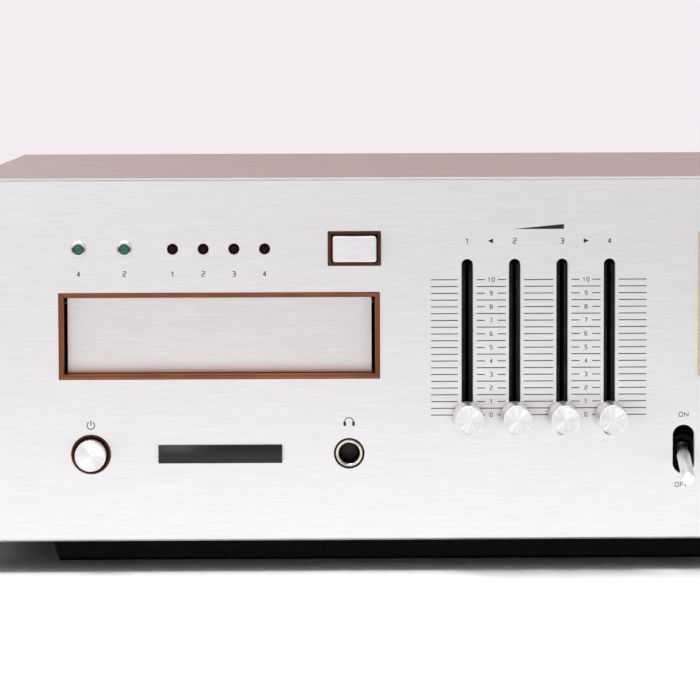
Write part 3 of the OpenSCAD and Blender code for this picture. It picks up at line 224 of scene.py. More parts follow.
def spun_metal(name, dark, light, rough, painted_glint=None):
    """Aluminium faced on a lathe: rings too fine to see singly (drawn at 0.18 mm), faint fans
    of painted light in its colour and, where a highlight colour is given, one painted highlight:
    a bright line across."""
    finish, tree, shader = start_finish(name, Metallic=1.0, Anisotropic=0.8)
    arm, ray, radius = off_axis(tree)
    place = add(tree, "ShaderNodeTexCoord").outputs["Object"]
    along = add(tree, "ShaderNodeSeparateXYZ", {0: place}).outputs[0]
    differ = add(tree, "ShaderNodeMath", {0: along, 1: 40.0}, operation="MULTIPLY").outputs[0]
    # painted light: fans of brighter and darker colour by direction from the axis
    fans = add(tree, "ShaderNodeTexNoise", {"Vector": ray, "W": differ, "Scale": 2.2, "Detail": 2.0,
                                            "Roughness": 0.6}, noise_dimensions="4D").outputs[0]
    colour = between(tree, fans, dark, light, 0.36, 0.64)
    # painted highlight: a bright line through the axis, rising to the right at about 45 degrees
    if painted_glint:
        towards = add(tree, "ShaderNodeVectorMath", {0: ray, 1: (0.68, 0.0, 0.733)},
                      operation="DOT_PRODUCT").outputs["Value"]
        narrow = add(tree, "ShaderNodeMath", {0: towards}, operation="ABSOLUTE").outputs[0]
        share = between(tree, narrow, 0.0, 1.0, 0.996, 0.9999)
        colour = add(tree, "ShaderNodeMix", {0: share, 6: colour, 7: srgb(painted_glint)},
                     data_type="RGBA").outputs[2]
    ring = add(tree, "ShaderNodeTexNoise", {"W": radius, "Scale": 1 / (0.18 * MM), "Detail": 2.0},
               noise_dimensions="1D").outputs[0]
    dress(tree, shader, colour, between(tree, ring, rough * 0.85, rough * 1.2), ring)
    across = add(tree, "ShaderNodeVectorMath", {0: arm, 1: (0.0, 1.0, 0.0)},
                 operation="CROSS_PRODUCT")
    turned_with = add(tree, "ShaderNodeVectorTransform", {0: across.outputs[0]},
                      vector_type="VECTOR", convert_from="OBJECT", convert_to="WORLD")
    tree.links.new(turned_with.outputs[0], shader.inputs["Tangent"])
    return finish


def coned_ring(name, dark, light, rough):
    """Bright-turned lamp ring: its left and right flanks, close to the lens, are painted darker,
    a painted reflection of the room's dark sides."""
    finish, tree, shader = start_finish(name, Metallic=1.0)
    _, ray, radius = off_axis(tree)
    # painted reflection: darker where the ring's flank faces left or right, near the lens
    side = add(tree, "ShaderNodeSeparateXYZ", {0: ray}).outputs[0]
    flank = add(tree, "ShaderNodeMath", {0: side, 1: side}, operation="MULTIPLY").outputs[0]
    marks = grain(tree, (0.2, 0.2, 0.2), 2.0)
    marks_and_painted_reflection = add(tree, "ShaderNodeMath", {0: marks, 1: 0.12, 2: flank}, operation="MULTIPLY_ADD")
    inner = between(tree, radius, 1.0, 0.0, 2.2 * MM, 2.7 * MM)
    held = add(tree, "ShaderNodeMath", {0: marks_and_painted_reflection.outputs[0], 1: inner}, operation="MULTIPLY")
    dress(tree, shader, between(tree, held.outputs[0], light, dark, 0.72, 1.0),
          between(tree, marks, rough * 0.85, rough * 1.15), marks)
    return finish


def plain_metal(name, dark, light, rough, patch, wear=0.3):
    """Plated or rolled metal: cloudy patches in its colour and in its gloss."""
    finish, tree, shader = start_finish(name, Metallic=1.0)
    cloud = grain(tree, (patch, patch, patch), 4.0)
    dress(tree, shader, between(tree, cloud, dark, light),
          between(tree, cloud, rough * (1 + wear), rough * (1 - wear)), cloud)
    return finish


def moulding(name, dark, light, rough, texture, depth, **sockets):
    """A moulded, pressed or painted skin with the fine texture that its tool or spray left."""
    finish, tree, shader = start_finish(name, **sockets)
    skin = grain(tree, (texture, texture, texture), 3.0)
    flow = grain(tree, (texture * 30, texture * 30, texture * 30), 2.0)
    dress(tree, shader, between(tree, flow, dark, light),
          between(tree, skin, rough * 0.85, rough * 1.15), skin, depth)
    return finish


def walnut_veneer(name, along):
    """Walnut veneer under satin lacquer: figure bands a few mm wide that wander along the
    grain, and short dark pores; along is the axis that the grain follows."""
    finish, tree, shader = start_finish(name, IOR=1.5, Coat_Weight=0.5, Coat_Roughness=0.2)

    def stretched(length, width):
        return [length if axis == along else width for axis in "xyz"]

    figure = grain(tree, stretched(150.0, 7.0), 5.0, 0.6, 1.2)
    fibre = grain(tree, stretched(34.0, 0.9), 4.0, 0.65)
    pores = grain(tree, stretched(9.0, 0.42), 2.0, 0.5)
    body = between(tree, mean_of(tree, figure, fibre), "#633a23", "#8f5f40", 0.36, 0.64)
    pit = between(tree, pores, 0.0, 1.0, 0.36, 0.46)
    veneer = add(tree, "ShaderNodeMix", {0: pit, 6: srgb("#482b1d"), 7: body}, data_type="RGBA")
    dress(tree, shader, veneer.outputs[2], between(tree, fibre, 0.34, 0.5), pores, 0.02)
    return finish


def split_finish(name, axis, edge, low_side, high_side, rough, metal):
    """Two stuffs in one part, such as a board and what stands on it: low_side's colours
    below edge (metres along axis), high_side's above it."""
    finish, tree, shader = start_finish(name)
    place = add(tree, "ShaderNodeTexCoord")
    parts = add(tree, "ShaderNodeSeparateXYZ", {0: place.outputs["Object"]})
    beyond = add(tree, "ShaderNodeMath", {0: parts.outputs["XYZ".index(axis)], 1: edge},
                 operation="GREATER_THAN").outputs[0]
    cloud = grain(tree, (2.5, 2.5, 2.5), 3.0)
    colour = add(tree, "ShaderNodeMix", {0: beyond, 6: between(tree, cloud, *low_side),
                                         7: between(tree, cloud, *high_side)}, data_type="RGBA")
    gloss, metallic = (between(tree, beyond, *pair, 0.0, 1.0) for pair in (rough, metal))
    tree.links.new(metallic, shader.inputs["Metallic"])
    dress(tree, shader, colour.outputs[2], gloss, cloud, 0.01)
    return finish


def clear_pane(name):
    """Clear acrylic, cast: what is behind it shows, with a soft reflection and fine dust."""
    finish, tree, shader = start_finish(name, IOR=1.49, Transmission_Weight=1.0)
    dust = grain(tree, (6.0, 6.0, 6.0), 3.0)
    dress(tree, shader, between(tree, dust, "#f2f6f7", "#ffffff"), between(tree, dust, 0.0, 0.02))
    return finish


def lamp_lens(name, deep, bright, painted_glow, shine):
    """Tinted polystyrene lens, moulded with fine facets that scatter the light inside. Its
    emission is a painted glow in its bright colour, though no lamp lights it.
    """
    # painted glow: the lens emits light though no lamp is lit behind it
    finish, tree, shader = start_finish(name, IOR=1.59, Specular_IOR_Level=shine,
                                        Emission_Strength=painted_glow, Emission_Color=srgb(bright))
    facets = grain(tree, (0.5, 0.5, 0.5), 2.0)
    dress(tree, shader, between(tree, facets, deep, bright), between(tree, facets, 0.2, 0.38),
          facets, 0.03)
    return finish


def printed_ink(name, dark, light):
    """Screen-printed ink: matt, and a little thin where the mesh held it back."""
    finish, tree, shader = start_finish(name, IOR=1.45, Specular_IOR_Level=0.3)
    thin = grain(tree, (0.3, 0.3, 0.3), 2.0)
    dress(tree, shader, between(tree, thin, dark, light), between(tree, thin, 0.62, 0.68))
    return finish


# Wood: warm brown with a satin sheen, its bands along the length or up the side.
walnut_along = walnut_veneer("walnut_veneer_lengthways", "x")
walnut_upright = walnut_veneer("walnut_veneer_upright", "z")

# Brushed sheet: pale and nearly white from the front. The panel and the cap have a duller line
# along their top edge, painted darker as painted shade, and the flap's foot is painted warm, a
# painted reflection of the brown frame.
panel_sheet = brushed_sheet(
    "brushed_anodised_aluminium", "#e7e5e7", "#efedee", 0.36, (16.0, 16.0, 0.5),
    edge=(PANEL_HIGH.z - 1.0 * MM, PANEL_HIGH.z - 0.7 * MM, "#c4c0c0", 0.7))
door_sheet = brushed_sheet(
    "brushed_aluminium_flap", "#dfdadb", "#e7e3e4", 0.34, (14.0, 14.0, 0.5),
    edge=(at(0, 0, SLOT_V - 7.5).z, at(0, 0, SLOT_V - 12.7).z, "#a27f70", 0.0))
cap_sheet = brushed_sheet(
    "brushed_aluminium_cap", "#ece9eb", "#f5f3f4", 0.34, (9.0, 9.0, 0.5),
    edge=(at(0, 0, LAMP_V + 3.5).z, at(0, 0, LAMP_V + 4.0).z, "#dedbdc", 0.7))

# Turned aluminium: the knobs' faces carry painted fans of light and one painted highlight, a
# bright line; their barrels shade softly round.
spun_face = spun_metal("spun_aluminium_knob_face", "#e4e2e3", "#f6f4f5", 0.26, painted_glint="#ffffff")
spun_skirt = spun_metal("spun_aluminium_skirt", "#c9c7c8", "#dad8d9", 0.3)
turned_barrel = plain_metal("turned_aluminium_barrel", "#ebe9ea", "#f2f0f1", 0.34, 5.0, 0.05)
# the darker colour is the painted reflection on the lamp rings' flanks
lamp_ring = coned_ring("bright_turned_lamp_ring", "#7d797b", "#e0dfe0", 0.5)
slot_rim = plain_metal("bright_cut_aluminium_edge", "#d6d4d6", "#e2e0e2", 0.5, 1.5)
gold = plain_metal("satin_gold_anodised_aluminium", "#c9b48c", "#dcc9a2", 0.32, 1.2)

# Plated and bare metals: white chromium, warm nickel, grey zinc and steel, yellow brass.
chrome = plain_metal("satin_chromium_plate", "#ececee", "#f5f5f7", 0.42, 3.0, 0.1)
nickel = plain_metal("nickel_plate", "#cfc8b8", "#e6e0d2", 0.2, 2.0)
zinc = plain_metal("zinc_plated_steel", "#a9aba8", "#c9cac6", 0.36, 4.0)
steel = plain_metal("ground_steel", "#9a9b9e", "#b7b8bb", 0.26, 2.0)
black_oxide = plain_metal("blackened_steel", "#2a2929", "#3a3938", 0.4, 1.5)
bronze = plain_metal("sintered_bronze", "#a87d46", "#c59a5c", 0.42, 0.8)
brass = plain_metal("turned_brass", "#b79a52", "#d0b368", 0.28, 1.5)
head_alloy = plain_metal("lapped_head_alloy", "#b3b3b6", "#cfcfd2", 0.14, 2.0)

# Paint, stain and black anodising: dead black behind the slots, a low sheen on the case.
black_paint = moulding("black_stoved_paint", "#131314", "#1d1d1f", 0.42, 0.6, 0.012)
matt_black = moulding("dead_black_paint", "#201d1d", "#282424", 0.8, 0.6, 0.012,
                      Specular_IOR_Level=0.08)
rail_paint = moulding("black_stain_on_wood", "#0c0b0b", "#141212", 0.6, 1.2, 0.02,
                      Specular_IOR_Level=0.2)
dial_black = moulding("black_dial_paint", "#0c1012", "#14191c", 0.8, 0.4, 0.002,
                      Specular_IOR_Level=0.04)
sink_black = moulding("black_anodised_extrusion", "#0f0f10", "#1a1a1c", 0.46, 0.4, 0.006)

# Plastics: amber brown round the slot, umber round the buttons, deep black and white inside.
brown_abs = moulding("amber_brown_abs_moulding", "#8c4718", "#9d5420", 0.36, 0.35, 0.006,
                     Specular_IOR_Level=0.32)
umber_abs = moulding("umber_abs_moulding", "#55290f", "#653418", 0.36, 0.35, 0.006,
                     Specular_IOR_Level=0.2)
dark_abs = moulding("dark_brown_abs_moulding", "#2c130b", "#3a1b10", 0.4, 0.3, 0.006,
                    Specular_IOR_Level=0.2)
black_abs = moulding("black_abs_moulding", "#060606", "#0a0a0a", 0.55, 0.3, 0.008,
                     Specular_IOR_Level=0.08)
badge_gloss = moulding("black_acrylic_plate", "#0c0c0e", "#111113", 0.2, 0.9, 0.001,
                       Specular_IOR_Level=0.42)
nylon = moulding("white_nylon_moulding", "#d6d2c6", "#e6e3d9", 0.42, 0.5, 0.008)
pointer_red = moulding("orange_acetal_pointer", "#e0571e", "#f06c2c", 0.35, 0.4, 0.004)
white_insert = moulding("white_phono_insert", "#dedbd0", "#eeece4", 0.38, 0.5, 0.006)
red_insert = moulding("red_phono_insert", "#a61d1b", "#bd2a26", 0.38, 0.5, 0.006)

# Felt, rubber, laminate and wrap: dull, and coarser to the eye than the mouldings.
dust_felt = moulding("dark_dust_felt", "#2a2627", "#383334", 0.9, 0.2, 0.01,
                     Specular_IOR_Level=0.05)
rubber = moulding("ground_neoprene_rubber", "#111111", "#1c1b1b", 0.72, 0.25, 0.012)
phenolic = moulding("pressed_phenolic_laminate", "#3c2417", "#553425", 0.4, 0.8, 0.006)
coil_tape = moulding("varnished_coil_wrap", "#8d6232", "#a87a43", 0.38, 1.5, 0.02)

# Clear and tinted plastic, and ink: unlit lenses look deep green and nearly black, the green
# one with a faint painted glow.
pane = clear_pane("cast_acrylic_pane")
green_lens = lamp_lens("green_polystyrene_lens", "#1c5a3a", "#338465", 0.03, 0.3)
red_lens = lamp_lens("dark_red_polystyrene_lens", "#16060a", "#340d13", 0.0, 0.07)
panel_ink = printed_ink("dark_grey_screen_ink", "#272423", "#343130")
scale_ink = printed_ink("cream_screen_ink", "#d9cfa9", "#efe6c4")

# Parts of two stuffs: the first colours are the ground's, the second are what stands on it.
phenolic_ground, bright_nickel = ("#2c1a12", "#402619"), ("#b9b4aa", "#d4cfc4")
board_and_cans = split_finish(
    "glass_epoxy_board_and_sleeved_capacitors", "Z", at(0, 0, 9.7).z,
    ("#1d4a2b", "#2a6039"), ("#1f3556", "#2c4a76"), (0.4, 0.34), (0.0, 0.0))
strip_and_screws = split_finish(
    "phenolic_strip_with_nickel_screws", "Y", at(0, REAR_FACE + 3.1, 0).y,
    phenolic_ground, bright_nickel, (0.45, 0.24), (0.0, 1.0))
plate_and_shells = split_finish(
    "phenolic_plate_with_nickel_shells", "Y", at(0, REAR_FACE + 1.6, 0).y,
    phenolic_ground, bright_nickel, (0.45, 0.2), (0.0, 1.0))
lamination = split_finish(
    "steel_laminations_and_taped_winding", "Y", at(0, 197.1, 0).y,
    ("#3d3c3a", "#54524f"), ("#b58a4c", "#c99f60"), (0.5, 0.45), (0.7, 0.0))

NODE_FINISHES = {
    walnut_along: ["cabinet_top"],
    walnut_upright: ["cabinet_side_left", "cabinet_side_right"],
    panel_sheet: ["front_panel"],
    door_sheet: ["cartridge_door"],
    black_paint: ["base_tray", "rear_panel"],
    matt_black: ["front_subchassis"],
    rail_paint: ["foot_rail_front", "foot_rail_rear"],
    black_abs: ["cartridge_guide", "loudness_switch"],
    dust_felt: ["slide_pots"],
    rubber: ["cord_grommet", "drive_belt"],
    zinc: ["cabinet_screws", "deck_chassis", "drive_motor", "rotary_controls", "tuning_capacitor"],
    black_oxide: ["door_hinge_pin"],
    steel: ["capstan_flywheel", "tuning_shaft", "solenoid_plunger"],
    bronze: ["capstan_bearing"],
    brass: ["motor_pulley"],
    head_alloy: ["tape_head"],
    nylon: ["head_carriage", "program_cam", "tuning_drum"],
    coil_tape: ["program_solenoid"],
    phenolic: ["button_switches"],
    brown_abs: ["slot_bezel"],
    umber_abs: ["power_liner", "program_liner"],
    spun_face: ["power_button", "tuning_knob", "selector_knob", "bass_knob", "treble_knob"]
               + ["volume_knob_%d" % i for i, _ in enumerate(SLIDER_US, 1)],
    cap_sheet: ["program_button"],
    lamp_ring: ["lamp_bezels"],
    green_lens: ["channel_lamps"],
    red_lens: ["program_lamps"],
    nickel: ["headphone_jack"],
    badge_gloss: ["badge_plate"],
    chrome: ["loudness_lever"],
    gold: ["dial_bezel"],
    pane: ["dial_glass"],
    dial_black: ["dial_scale"],
    pointer_red: ["dial_pointer"],
    board_and_cans: ["main_board"],
    lamination: ["power_transformer"],
    sink_black: ["heat_sink"],
    strip_and_screws: ["rear_terminals"],
    plate_and_shells: ["rca_jacks"],
}
for finish, names in NODE_FINISHES.items():
    for name in names:
        nodes[name].data.materials.clear()
        nodes[name].data.materials.append(finish)


# ---------------------------------------------------------------------------
# Making pieces
# ---------------------------------------------------------------------------
QUARTER_TURN = Matrix.Rotation(math.pi / 2, 3, "X")           # from lying flat to facing forward


def spin_outline(shape, u, v, outline, closed=False, steps=96):
    """Turns an outline of (radius, depth) in mm about the axis through (u, v)."""
    old = set(shape.verts)
    points = [shape.verts.new(at(u + r, d, v)) for r, d in outline]
    ends = list(zip(points, points[1:])) + ([(points[-1], points[0])] if closed else [])
    edges = [shape.edges.new(pair) for pair in ends]
    bmesh.ops.spin(shape, geom=points + edges, cent=at(u, 0, v), axis=(0.0, 1.0, 0.0),
                   angle=math.tau, steps=steps, use_merge=True)
    note_axis(shape, u, v, old)


def note_axis(shape, u, v, old=()):
    """Stores how far each new point lies from the turning axis, for the spun finishes."""
    layer = shape.verts.layers.float_vector.get("off_axis") or \
        shape.verts.layers.float_vector.new("off_axis")
    centre = at(u, 0, v)
    for vert in shape.verts:
        if vert not in old:
            vert[layer] = (vert.co.x - centre.x, 0.0, vert.co.z - centre.z)


def stand_up(shape, verts, u, d, v):
    """Turns a flat shape made at the origin into the panel's plane, to its place."""
    bmesh.ops.rotate(shape, cent=(0, 0, 0), matrix=QUARTER_TURN, verts=verts)
    bmesh.ops.translate(shape, vec=at(u, d, v), verts=verts)


def face_viewer(face):
    """Turns a face so that it points forward."""
    face.normal_update()
    if face.normal.y > 0:
        face.normal_flip()


def panel_shape(shape, u, v, w, h, d, corner=0.0):
    """A face in the panel's plane at depth d: w by h about (u, v), its corners rounded."""
    verts = bmesh.ops.create_grid(shape, x_segments=1, y_segments=1, size=0.5)["verts"]
    bmesh.ops.scale(shape, vec=(w * MM, h * MM, 1.0), verts=verts)
    stand_up(shape, verts, u, d, v)
    if corner:
        bmesh.ops.bevel(shape, geom=verts, offset=corner * MM, offset_type="OFFSET",
                        affect="VERTICES", segments=6, profile=0.5, material=-1)
    face = max((f for f in shape.faces if abs((f.calc_center_median() - at(u, d, v)).y) < 1e-7),
               key=lambda f: f.calc_area())    # the bevel leaves small faces at the corners
    face_viewer(face)
    return face


def step_in(shape, face, steps):
    """Carries a face through steps of (inset, outset) in mm; outset is towards the viewer."""
    for inset, outset in steps:
        bmesh.ops.inset_region(shape, faces=[face], thickness=inset * MM, depth=outset * MM,
                               use_even_offset=True, use_boundary=True)


def raise_solid(shape, face, steps):
    """Carries a face through steps, and closes the solid behind it with its first outline."""
    base = list(face.verts)
    step_in(shape, face, steps)
    shape.faces.new(list(reversed(base)))


def box(shape, u0, u1, d0, d1, v0, v1, edge=0.0):
    """A block between those places, with its edges broken by edge mm."""
    low, high = at(u0, d0, v0), at(u1, d1, v1)
    made = bmesh.ops.create_cube(shape, size=1.0)["verts"]
    bmesh.ops.scale(shape, vec=high - low, verts=made)
    bmesh.ops.translate(shape, vec=(low + high) / 2, verts=made)
    if edge:
        edges = {e for vert in made for e in vert.link_edges}
        bmesh.ops.bevel(shape, geom=list(edges), offset=edge * MM, offset_type="OFFSET",
                        affect="EDGES", segments=2, profile=0.5, material=-1)


def make_piece(name, shape, finish, body, stands_for=(), sharp=32.0):
    """Makes a shape a piece with its finish, on its body, in the place of its nodes; edges
    under sharp degrees are shaded round."""
    bmesh.ops.remove_doubles(shape, verts=shape.verts, dist=1e-6)
    bmesh.ops.recalc_face_normals(shape, faces=shape.faces)
    mesh = bpy.data.meshes.new(name)
    shape.to_mesh(mesh)
    shape.free()
    mesh.shade_smooth()
    mesh.set_sharp_from_angle(angle=math.radians(sharp))
    for face in mesh.polygons:                 # broad flat faces stay flat up to their rims
        face.use_smooth = len(face.vertices) <= 4
    mesh.materials.append(finish)
    piece = bpy.data.objects.new(name, mesh)
    bpy.context.scene.collection.objects.link(piece)
    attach(piece, body)
    if stands_for:
        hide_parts(*stands_for)


def frame_ring(shape, u, v, w, h, back, steps):
    """A frame of one closed section: from its back edge forward, over the lip and back."""
    face = panel_shape(shape, u, v, w, h, back)
    step_in(shape, face, steps)
    bmesh.ops.delete(shape, geom=[face], context="FACES_ONLY")
    rims = [e for e in shape.edges if e.is_boundary]
    bmesh.ops.bridge_loops(shape, edges=rims)


def add_shape(shape, other):
    """Adds another shape to this one, and ends the other."""
    carrier = bpy.data.meshes.new("joined")
    other.to_mesh(carrier)
    other.free()
    shape.from_mesh(carrier)
    bpy.data.meshes.remove(carrier)


BOX = ((0, 0), (1, 0), (1, 1), (0, 1), (0, 0))
STROKES = {                                    # squared signs in a box of 1 by 1
    "0": [BOX],
    "1": [((0.05, 0.76), (0.55, 1), (0.55, 0))],
    "2": [((0, 1), (1, 1), (1, 0.5), (0, 0.5), (0, 0), (1, 0))],
    "3": [((0, 1), (1, 1), (1, 0), (0, 0)), ((0.25, 0.5), (1, 0.5))],
    "4": [((1, 0.24), (0, 0.24), (0.72, 1), (0.72, 0))],
    "5": [((1, 1), (0, 1), (0, 0.52), (1, 0.52), (1, 0), (0, 0))],
    "6": [((0.95, 1), (0, 1), (0, 0), (1, 0), (1, 0.52), (0, 0.52))],
    "7": [((0, 1), (1, 1), (0.4, 0))],
    "8": [BOX, ((0, 0.5), (1, 0.5))],
    "9": [((0.05, 0), (1, 0), (1, 1), (0, 1), (0, 0.48), (1, 0.48))],
    "F": [((0, 0), (0, 1), (1, 1)), ((0, 0.5), (0.85, 0.5))],
    "N": [((0, 0), (0, 1), (1, 0), (1, 1))],
    "O": [BOX],
}


def rounded_path(points, cut):
    """A path with four points in place of each corner, to round it, and whether it is closed."""
    closed = points[0] == points[-1]
    points = [Vector(p) for p in points]
    count = len(points) - 1
    path = [] if closed else [points[0]]
    for i in range(0 if closed else 1, count):
        here, before, after = points[i], points[i - 1 if i else count - 1], points[i + 1]
        back, on = before - here, after - here
        for along, across, share in ((back, on, 1.0), (back, on, 0.35), (on, back, 0.35),
                                     (on, back, 1.0)):
            step = min(cut, along.length * 0.45)
            path.append(here + along.normalized() * step * share
                        + across.normalized() * step * (0.12 if share < 1 else 0.0))
    path += [path[0]] if closed else [points[-1]]
    return path, closed


def print_stroke(shape, points, width, cut, place):
    """Prints a line of that width along a path; place turns path points to object points."""
    path, closed = rounded_path(points, cut)
    count = len(path) - closed
    sides = []
    for i in range(count):
        ways = []
        for a, b in ((i - 1, i), (i, i + 1)):
            if closed or 0 <= a and b < count:
                ways.append((path[b % count] - path[a % count]).normalized())
        normals = [Vector((-w.y, w.x)) for w in ways]
        if len(normals) == 1:
            miter = normals[0]
        else:
            miter = (normals[0] + normals[1]) / (1 + normals[0].dot(normals[1]))
        sides.append([shape.verts.new(place(path[i] + miter * s * width / 2)) for s in (-1, 1)])
    for i in range(count if closed else count - 1):
        (a, b), (c, e) = sides[i], sides[(i + 1) % count]
        shape.faces.new((a, c, e, b))


def print_words(shape, words, u, v, d, height, wide=0.62, line=0.15, turned=1):
    """Prints signs on a face at depth d, centred on (u, v): wide and line are shares of their
    height, and turned is -1 to read from behind."""
    line *= height
    tall, broad = height - line, wide * height - line
    pitch = wide * height + 0.24 * height
    for k, sign in enumerate(words):
        left = (k - (len(words) - 1) / 2) * pitch - broad / 2

        def place(p):
            return at(u + turned * (left + p.x), d, v + p.y - tall / 2)

        for path in STROKES[sign]:
            path = [(x * broad, y * tall) for x, y in path]
            if len(path) == 2:                 # a bar ends at the stroke that it meets
                path = [(x + (line / 2 if x <= 0 else -line / 2 if x >= broad else 0), y)
                        for x, y in path]
            print_stroke(shape, path, line, 0.16 * height, place)


def print_bar(shape, u0, u1, v0, v1, d):
    """Prints a filled bar."""
    corners = [at(u0, d, v0), at(u1, d, v0), at(u1, d, v1), at(u0, d, v1)]
    shape.faces.new([shape.verts.new(p) for p in corners])


def print_arc(shape, u, v, r, width, a0, a1, d):
    """Prints an arc of that radius and line width, from a0 to a1 degrees."""
    start, sweep = math.radians(a0), math.radians(a1 - a0)
    ends = [shape.verts.new(at(u + q * math.cos(start), d, v + q * math.sin(start)))
            for q in (r - width / 2, r + width / 2)]
    bmesh.ops.spin(shape, geom=ends + [shape.edges.new(ends)], cent=at(u, d, v),
                   axis=(0.0, -1.0, 0.0), angle=sweep, steps=24)


def lift_print(shape, thick=0.03, ahead=-1):
    """Gives flat print its thickness in mm, so that it is a closed skin; ahead is -1 on a face
    that points forward and 1 on one that points back."""
    bmesh.ops.remove_doubles(shape, verts=shape.verts, dist=1e-7)
    for face in shape.faces:
        face.normal_update()
        if face.normal.y * ahead < 0:
            face.normal_flip()
    made = bmesh.ops.extrude_face_region(shape, geom=list(shape.faces))
    moved = [g for g in made["geom"] if isinstance(g, bmesh.types.BMVert)]
    bmesh.ops.translate(shape, vec=(0.0, ahead * thick * MM, 0.0), verts=moved)


# ---------------------------------------------------------------------------
# Print on the front panel: numbers, signs and scales
# ---------------------------------------------------------------------------
NUMBER_TALL = 1.9                              # height of the panel's numbers
SLIDER_NUMBER_V = 99.0                         # their place over the volume slots
SCALE_STEP = 2.24                              # rise from one volume line to the next
SCALE_NUMBER_US = (173.0, 204.3)               # the numbers stand between the slots


def print_panel_numbers():
    """Numbers below the lamps and over the volume slots, and the lever's two words."""
    marks = bmesh.new()
    for i, u in enumerate(PROGRAM_LAMPS, 1):
        print_words(marks, str(i), u, LAMP_NUMBER_V, PRINT_FACE, NUMBER_TALL)
    for words, u in zip(("4", "2"), CHANNEL_LAMPS):
        print_words(marks, words, u, LAMP_NUMBER_V + 0.1, PRINT_FACE, NUMBER_TALL)
    for i, u in enumerate(SLIDER_US, 1):
        print_words(marks, str(i), u, SLIDER_NUMBER_V, PRINT_FACE, NUMBER_TALL)
    print_words(marks, "ON", TOGGLE_U, TOGGLE_V + 11.5, PRINT_FACE, 1.65, 0.85, 0.13)
    print_words(marks, "OFF", TOGGLE_U - 0.5, TOGGLE_V - 11.8, PRINT_FACE, 1.65, 0.8, 0.13)
    lift_print(marks)
    make_piece("panel_numbers", marks, panel_ink, "cabinet")


def print_panel_signs():
    """A power sign, headphones, a rising wedge and two arrows."""
    signs = bmesh.new()
    power_v, power_r, ear_v, ear_r, ear_half = 38.5, 1.25, 39.3, 1.45, 0.42
    print_arc(signs, POWER_U, power_v, power_r, PRINT_LINE, 120, 420, PRINT_FACE)
    print_bar(signs, POWER_U - PRINT_LINE / 2, POWER_U + PRINT_LINE / 2, power_v, power_v + 1.7,
              PRINT_FACE)
    print_arc(signs, JACK_U, ear_v, ear_r, PRINT_LINE, 0, 180, PRINT_FACE)
    for ear_u in (JACK_U - ear_r, JACK_U + ear_r):
        print_bar(signs, ear_u - ear_half, ear_u + ear_half, ear_v - 1.3, ear_v + 0.1, PRINT_FACE)
    wedge = ((180.0, 102.9), (197.0, 102.9), (197.0, 104.5))           # the volume rises
    arrows = [((u + side * 1.0, SLIDER_NUMBER_V), (u - side * 0.7, SLIDER_NUMBER_V + 0.8),
               (u - side * 0.7, SLIDER_NUMBER_V - 0.8)) for u, side in ((172.9, -1), (204.2, 1))]
    for corners in [wedge] + arrows:
        signs.faces.new([signs.verts.new(at(u, PRINT_FACE, v)) for u, v in corners])
    lift_print(signs)
    make_piece("panel_signs", signs, panel_ink, "cabinet")


def print_volume_scale():
    """Lines beside the volume slots, and two columns of numbers between them."""
    lines = bmesh.new()
    spans = ((153.1, 162.0), (168.2, 177.8), (183.8, 193.5), (199.5, 209.1), (215.1, 224.3))
    numbered, gap = {1: SCALE_NUMBER_US[0], 3: SCALE_NUMBER_US[1]}, 2.1
    for i in range(21):
        v = SLIDER_ZERO + SCALE_STEP * i
        for k, (u0, u1) in enumerate(spans):
            parts = [(u0, u1)]
            if k in numbered and i % 2 == 0:   # every other line leaves room for its number
                parts = [(u0, numbered[k] - gap), (numbered[k] + gap, u1)]
            for left, right in parts:
                print_bar(lines, left, right, v - PRINT_LINE / 2, v + PRINT_LINE / 2, PRINT_FACE)
    lift_print(lines, 0.02)
    make_piece("volume_scale_lines", lines, panel_ink, "cabinet")

    numbers = bmesh.new()
    for i in range(11):
        for u in SCALE_NUMBER_US:
            print_words(numbers, str(i), u, SLIDER_ZERO + 2 * SCALE_STEP * i, PRINT_FACE, 1.55)
    lift_print(numbers, 0.02)
    make_piece("volume_scale_numbers", numbers, panel_ink, "cabinet")


print_panel_numbers()
print_panel_signs()
print_volume_scale()


# ---------------------------------------------------------------------------
# Cartridge slot
# ---------------------------------------------------------------------------
def make_slot_frame():
    """Moulded frame: sharp corners, a lip that slopes inwards and the throat to the guide."""
    width, height = 105.6, 28.3
    shape = bmesh.new()
    frame_ring(shape, SLOT_U, SLOT_V, width, height, 16.0, [
        (0.0, 16.0), (0.0, 0.32), (0.05, 0.12), (0.13, 0.06), (0.97, -0.74),
        (0.16, -0.04), (0.04, -0.2), (0.0, -15.5)])
    flange = bmesh.new()
    frame_ring(flange, SLOT_U, SLOT_V, width + 3.2, height + 3.2, 4.2, [
        (0.0, 1.2), (1.65, 0.0), (0.0, -1.2)])
    add_shape(shape, flange)
    make_piece("slot_frame", shape, brown_abs, "cabinet", ["slot_bezel"])


make_slot_frame()


def make_flap():
    """Flap of brushed sheet, its edges broken, with the rolled sleeve for its pin behind."""
    top, low, width = SLOT_V + 12.4, SLOT_V - 12.68, 100.6
    pin_d, pin_v, roll_r = 7.5, SLOT_V + 10.9, 1.5
    roll = [(pin_d + roll_r * math.sin(math.radians(a)), pin_v + roll_r * math.cos(math.radians(a)))
            for a in range(0, 181, 15)]
    outline = [(6.12, low), (6.0, low + 0.12), (6.0, top - 0.12), (6.12, top)] + roll + [
        (7.2, pin_v - 1.6), (7.2, low + 0.1), (7.1, low)]
    sheet = bmesh.new()
    face = sheet.faces.new([sheet.verts.new(at(SLOT_U - width / 2, d, v)) for d, v in outline])
    made = bmesh.ops.extrude_face_region(sheet, geom=[face])["geom"]
    moved = [g for g in made if isinstance(g, bmesh.types.BMVert)]
    bmesh.ops.translate(sheet, vec=(width * MM, 0, 0), verts=moved)
    make_piece("flap_sheet", sheet, door_sheet, "flap", ["cartridge_door"])


make_flap()


